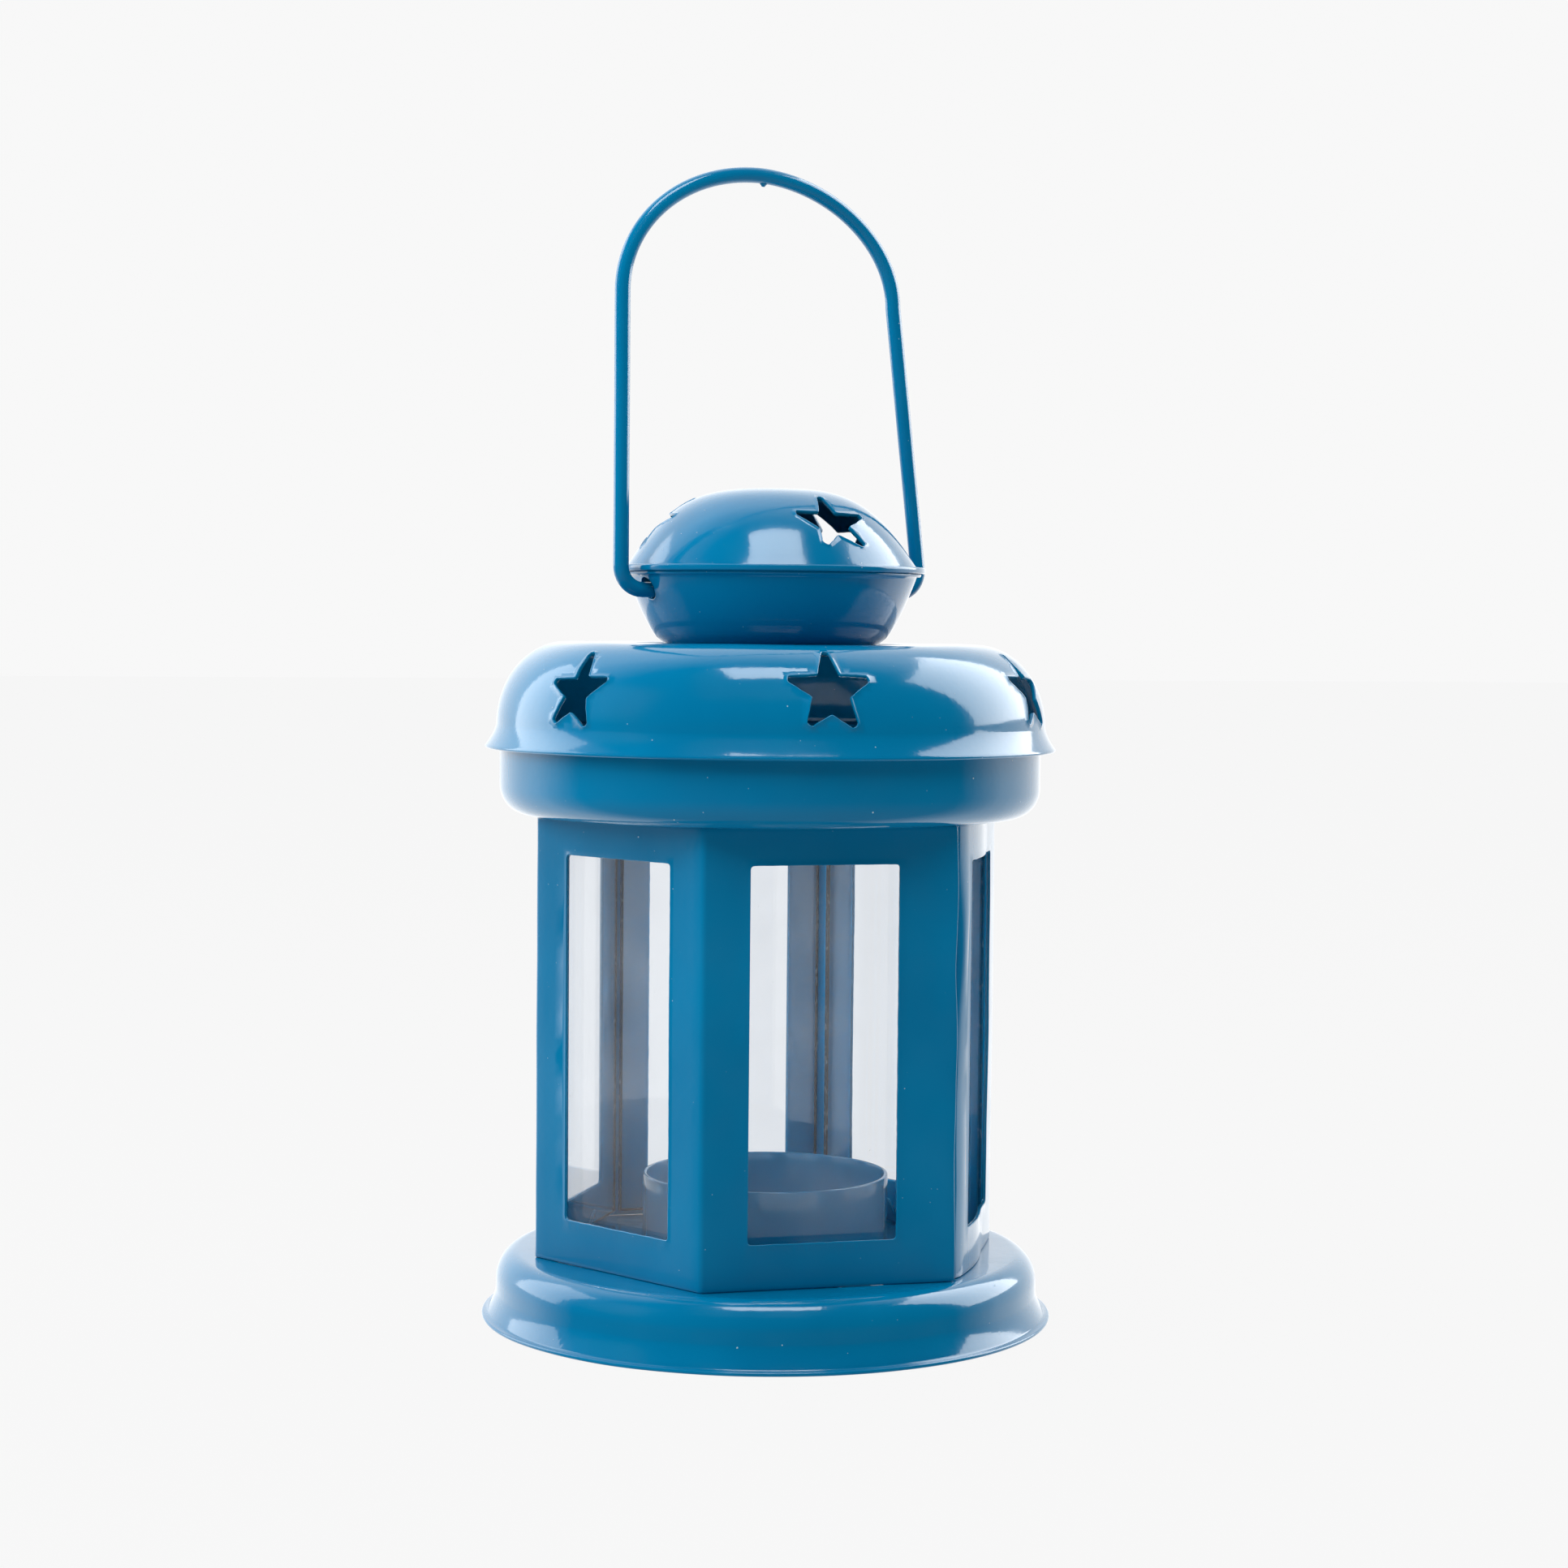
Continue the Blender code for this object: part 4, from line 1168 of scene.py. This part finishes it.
def make_bail(paint):
    """The painted wire, bent by hand, with chamfered ends."""
    line = [Vector((x, 0, z)) for x, z in bail_line()]
    points = []
    rings = []
    last = len(line) - 1
    start = line[0]
    stop = line[last]
    inward = (line[1] - start).normalized()
    back = (line[last - 1] - stop).normalized()
    tip = 1 - BAIL_BEVEL / WIRE_RADIUS
    stations = [(start, tip), (start + inward * BAIL_BEVEL, 1)]
    stations += [(p, 1) for p in line[1:last]]
    stations += [(stop + back * BAIL_BEVEL, 1), (stop, tip)]
    for k, (centre, share) in enumerate(stations):
        behind = stations[max(k - 1, 0)][0]
        ahead = stations[min(k + 1, len(stations) - 1)][0]
        heading = (ahead - behind).normalized()
        across = Vector((0, 1, 0))
        up = heading.cross(across)
        drift = 0.05 * ripple(centre, 11, 6.0)
        ring = []
        for i in range(WIRE_SIDES):
            angle = 2 * math.pi * i / WIRE_SIDES
            reach = WIRE_RADIUS * share
            spot = centre + (across * math.cos(angle) + up * math.sin(angle)) * reach + across * drift
            ring.append(len(points))
            points.append(bail_place(spot))
        rings.append(ring)
    wire = make_object("bail_handle_fine", points, capped(rings), paint, sharp=40)
    settle(wire, "bail", "bail_handle")


def make_drip(paint):
    """A drop of paint that ran together under the crown of the bail and set."""
    over = [point for point in bail_line() if point[1] > BAIL_SPRING_HEIGHT]
    across, up = min(over, key=lambda point: abs(point[0] - DRIP_ACROSS))
    centre = Vector((across, 0, up - WIRE_RADIUS + DRIP_SINK))
    section = [(0, 0.3), (0.62, 0.2), (0.74, -0.1), (0.50, -0.35), (0.30, -0.6), (0.22, -0.8), (0, -0.9)]

    def place(reach, angle, drop):
        side = Vector((DRIP_LENGTHEN * math.cos(angle), math.sin(angle), 0)) * reach
        side *= 1 + 0.2 * ripple((side.x, side.y, drop), 0.7, 8.0)
        lean = DRIP_LEAN * drop if reach else 0
        return bail_place(centre + side + Vector((lean, 0, drop)))

    points, rings = turned_rings(section, DRIP_SIDES, place)
    settle(make_object("bail_drip", points, bands(rings), paint), "bail")


# Studio

BACKDROP = 0.938
FLOOR_REACH = 6.0
FLOOR_GLOW = 0.915
FLOOR_SHARE = 0.012
INNER_POWER = 0.020
STUDIO_TURN = Matrix.Rotation(math.radians(CAMERA_AZIMUTH), 4, "Z")


def place_camera():
    data = bpy.data.cameras.new("camera")
    data.lens = CAMERA_LENS
    data.sensor_width = CAMERA_SENSOR
    camera = bpy.data.objects.new("camera", data)
    place = STUDIO_TURN @ Matrix.Translation(Vector(CAMERA_PLACE) * MM)
    aim = Matrix.Rotation(math.radians(90) - CAMERA_DIP, 4, "X") @ Matrix.Rotation(CAMERA_ROLL, 4, "Z")
    camera.matrix_world = place @ aim
    bpy.context.scene.collection.objects.link(camera)
    bpy.context.scene.camera = camera


def soft_box(name, azimuth, elevation, distance, width, height, radiance,
             mirrored=True, scattered=True, through=True):
    """A rectangular light aimed at the lantern. Azimuth 0 is the camera's side."""
    target = (0, 0, 0.1)
    data = bpy.data.lights.new(name, "AREA")
    data.shape = "RECTANGLE"
    data.size = width
    data.size_y = height
    data.energy = radiance * math.pi * width * height
    light = bpy.data.objects.new(name, data)
    angle = math.radians(azimuth)
    rise = math.radians(elevation)
    away = Vector((math.sin(angle) * math.cos(rise), -math.cos(angle) * math.cos(rise), math.sin(rise)))
    spot = STUDIO_TURN @ (Vector(target) + away * distance)
    facing = (STUDIO_TURN @ Vector(target) - spot).to_track_quat("-Z", "Y")
    light.matrix_world = Matrix.Translation(spot) @ facing.to_matrix().to_4x4()
    light.visible_camera = False
    light.visible_glossy = mirrored
    light.visible_diffuse = scattered
    light.visible_transmission = through
    bpy.context.scene.collection.objects.link(light)


def inner_fill():
    """Stands for the light that the panes let in and the walls pass on."""
    data = bpy.data.lights.new("inner_fill", "POINT")
    data.energy = INNER_POWER
    data.shadow_soft_size = 12 * MM
    light = bpy.data.objects.new("inner_fill", data)
    light.location.z = (CUP_Z + FRAME_HEIGHT * 0.62) * MM
    light.visible_camera = False
    light.visible_glossy = False
    light.visible_transmission = False
    bpy.context.scene.collection.objects.link(light)


def make_world():
    """A pale backdrop for the camera; for light, a studio that is dark on the camera's side."""
    world = bpy.data.worlds.new("studio")
    world.use_nodes = True
    tree = world.node_tree
    tree.nodes.clear()
    where = add_node(tree, "ShaderNodeTexCoord").outputs["Generated"]
    front = STUDIO_TURN @ Vector((0, -1, 0))
    towards = add_node(tree, "ShaderNodeVectorMath", {0: where, 1: front}, operation="DOT_PRODUCT")
    height = add_node(tree, "ShaderNodeSeparateXYZ", {"Vector": where}).outputs["Z"]
    room = remap(tree, towards.outputs["Value"], 0.05, -0.40, 0.015, 1.40)
    low = remap(tree, height, -0.15, -0.8, 0.0, 0.22)
    light = math_node(tree, "MAXIMUM", room, low)
    path = add_node(tree, "ShaderNodeLightPath")
    seen = math_node(tree, "MAXIMUM", path.outputs["Is Camera Ray"], path.outputs["Is Transmission Ray"])
    level = math_node(tree, "ADD", math_node(tree, "MULTIPLY", seen, BACKDROP),
                      math_node(tree, "MULTIPLY", math_node(tree, "SUBTRACT", 1.0, seen), light))
    background = add_node(tree, "ShaderNodeBackground", {"Strength": level})
    background.inputs["Color"].default_value = (1, 1, 1, 1)
    output = add_node(tree, "ShaderNodeOutputWorld", {"Surface": background.outputs["Background"]})
    output.is_active_output = True
    bpy.context.scene.world = world


def make_floor():
    """A pale floor that runs into the backdrop and takes a faint shadow."""
    mesh = bpy.data.meshes.new("floor")
    reach = FLOOR_REACH
    corners = [(-reach, -reach, 0), (reach, -reach, 0), (reach, reach, 0), (-reach, reach, 0)]
    mesh.from_pydata(corners, [], [(0, 1, 2, 3)])
    floor = bpy.data.objects.new("floor", mesh)
    floor.location.z = -0.0001
    material = bpy.data.materials.new("floor")
    material.use_nodes = True
    tree = material.node_tree
    tree.nodes.clear()
    glow = add_node(tree, "ShaderNodeEmission", {"Strength": FLOOR_GLOW})
    card = add_node(tree, "ShaderNodeBsdfDiffuse", {"Color": (FLOOR_SHARE, FLOOR_SHARE, FLOOR_SHARE, 1)})
    both = add_node(tree, "ShaderNodeAddShader", {0: glow.outputs[0], 1: card.outputs[0]})
    add_node(tree, "ShaderNodeOutputMaterial", {"Surface": both.outputs[0]})
    mesh.materials.append(material)
    floor.visible_glossy = False
    bpy.context.scene.collection.objects.link(floor)
    floor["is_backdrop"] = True


def make_studio():
    make_world()
    make_floor()
    soft_box("overhead_left", 7, 73, 0.75, 0.40, 0.24, 8, scattered=False)
    soft_box("right_window", 114, 29, 0.80, 0.70, 0.74, 5, scattered=False)
    soft_box("side_right", 112, 25, 0.95, 0.45, 0.50, 2.5, mirrored=False, through=False)
    soft_box("side_left", -112, 20, 1.1, 0.70, 0.80, 2.4, through=False)
    soft_box("left_fill", -72, 25, 1.1, 0.60, 0.60, 6, mirrored=False)
    soft_box("front_fill", -4, 56, 0.85, 0.70, 0.60, 4.6, mirrored=False)
    inner_fill()
    bpy.context.scene.view_settings.view_transform = "Standard"


# The whole lantern


def main():
    place_camera()
    make_studio()
    paint = paint_material("blue_paint")
    glass = glass_material()
    edge = glass_edge_material()
    steel = steel_material()
    make_base(paint)
    make_cup(paint)
    make_rivet(steel)
    # the frame's inner faces take the paint lightened 2.6 times: painted light
    make_frame(paint, paint_material("blue_paint_inside_lightened", 2.6))
    make_tabs(paint)
    for k, azimuth in enumerate(PANEL_AZIMUTHS):
        make_pane(k + 1, azimuth, glass, edge)
    make_collar(paint)
    make_roof(paint)
    make_eyelet(steel)
    make_bowl(paint)
    make_dome(paint)
    make_bail(paint)
    make_drip(paint)
    [[list(corner) for corner in box] for box in (CAD_BOX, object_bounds())]


main()
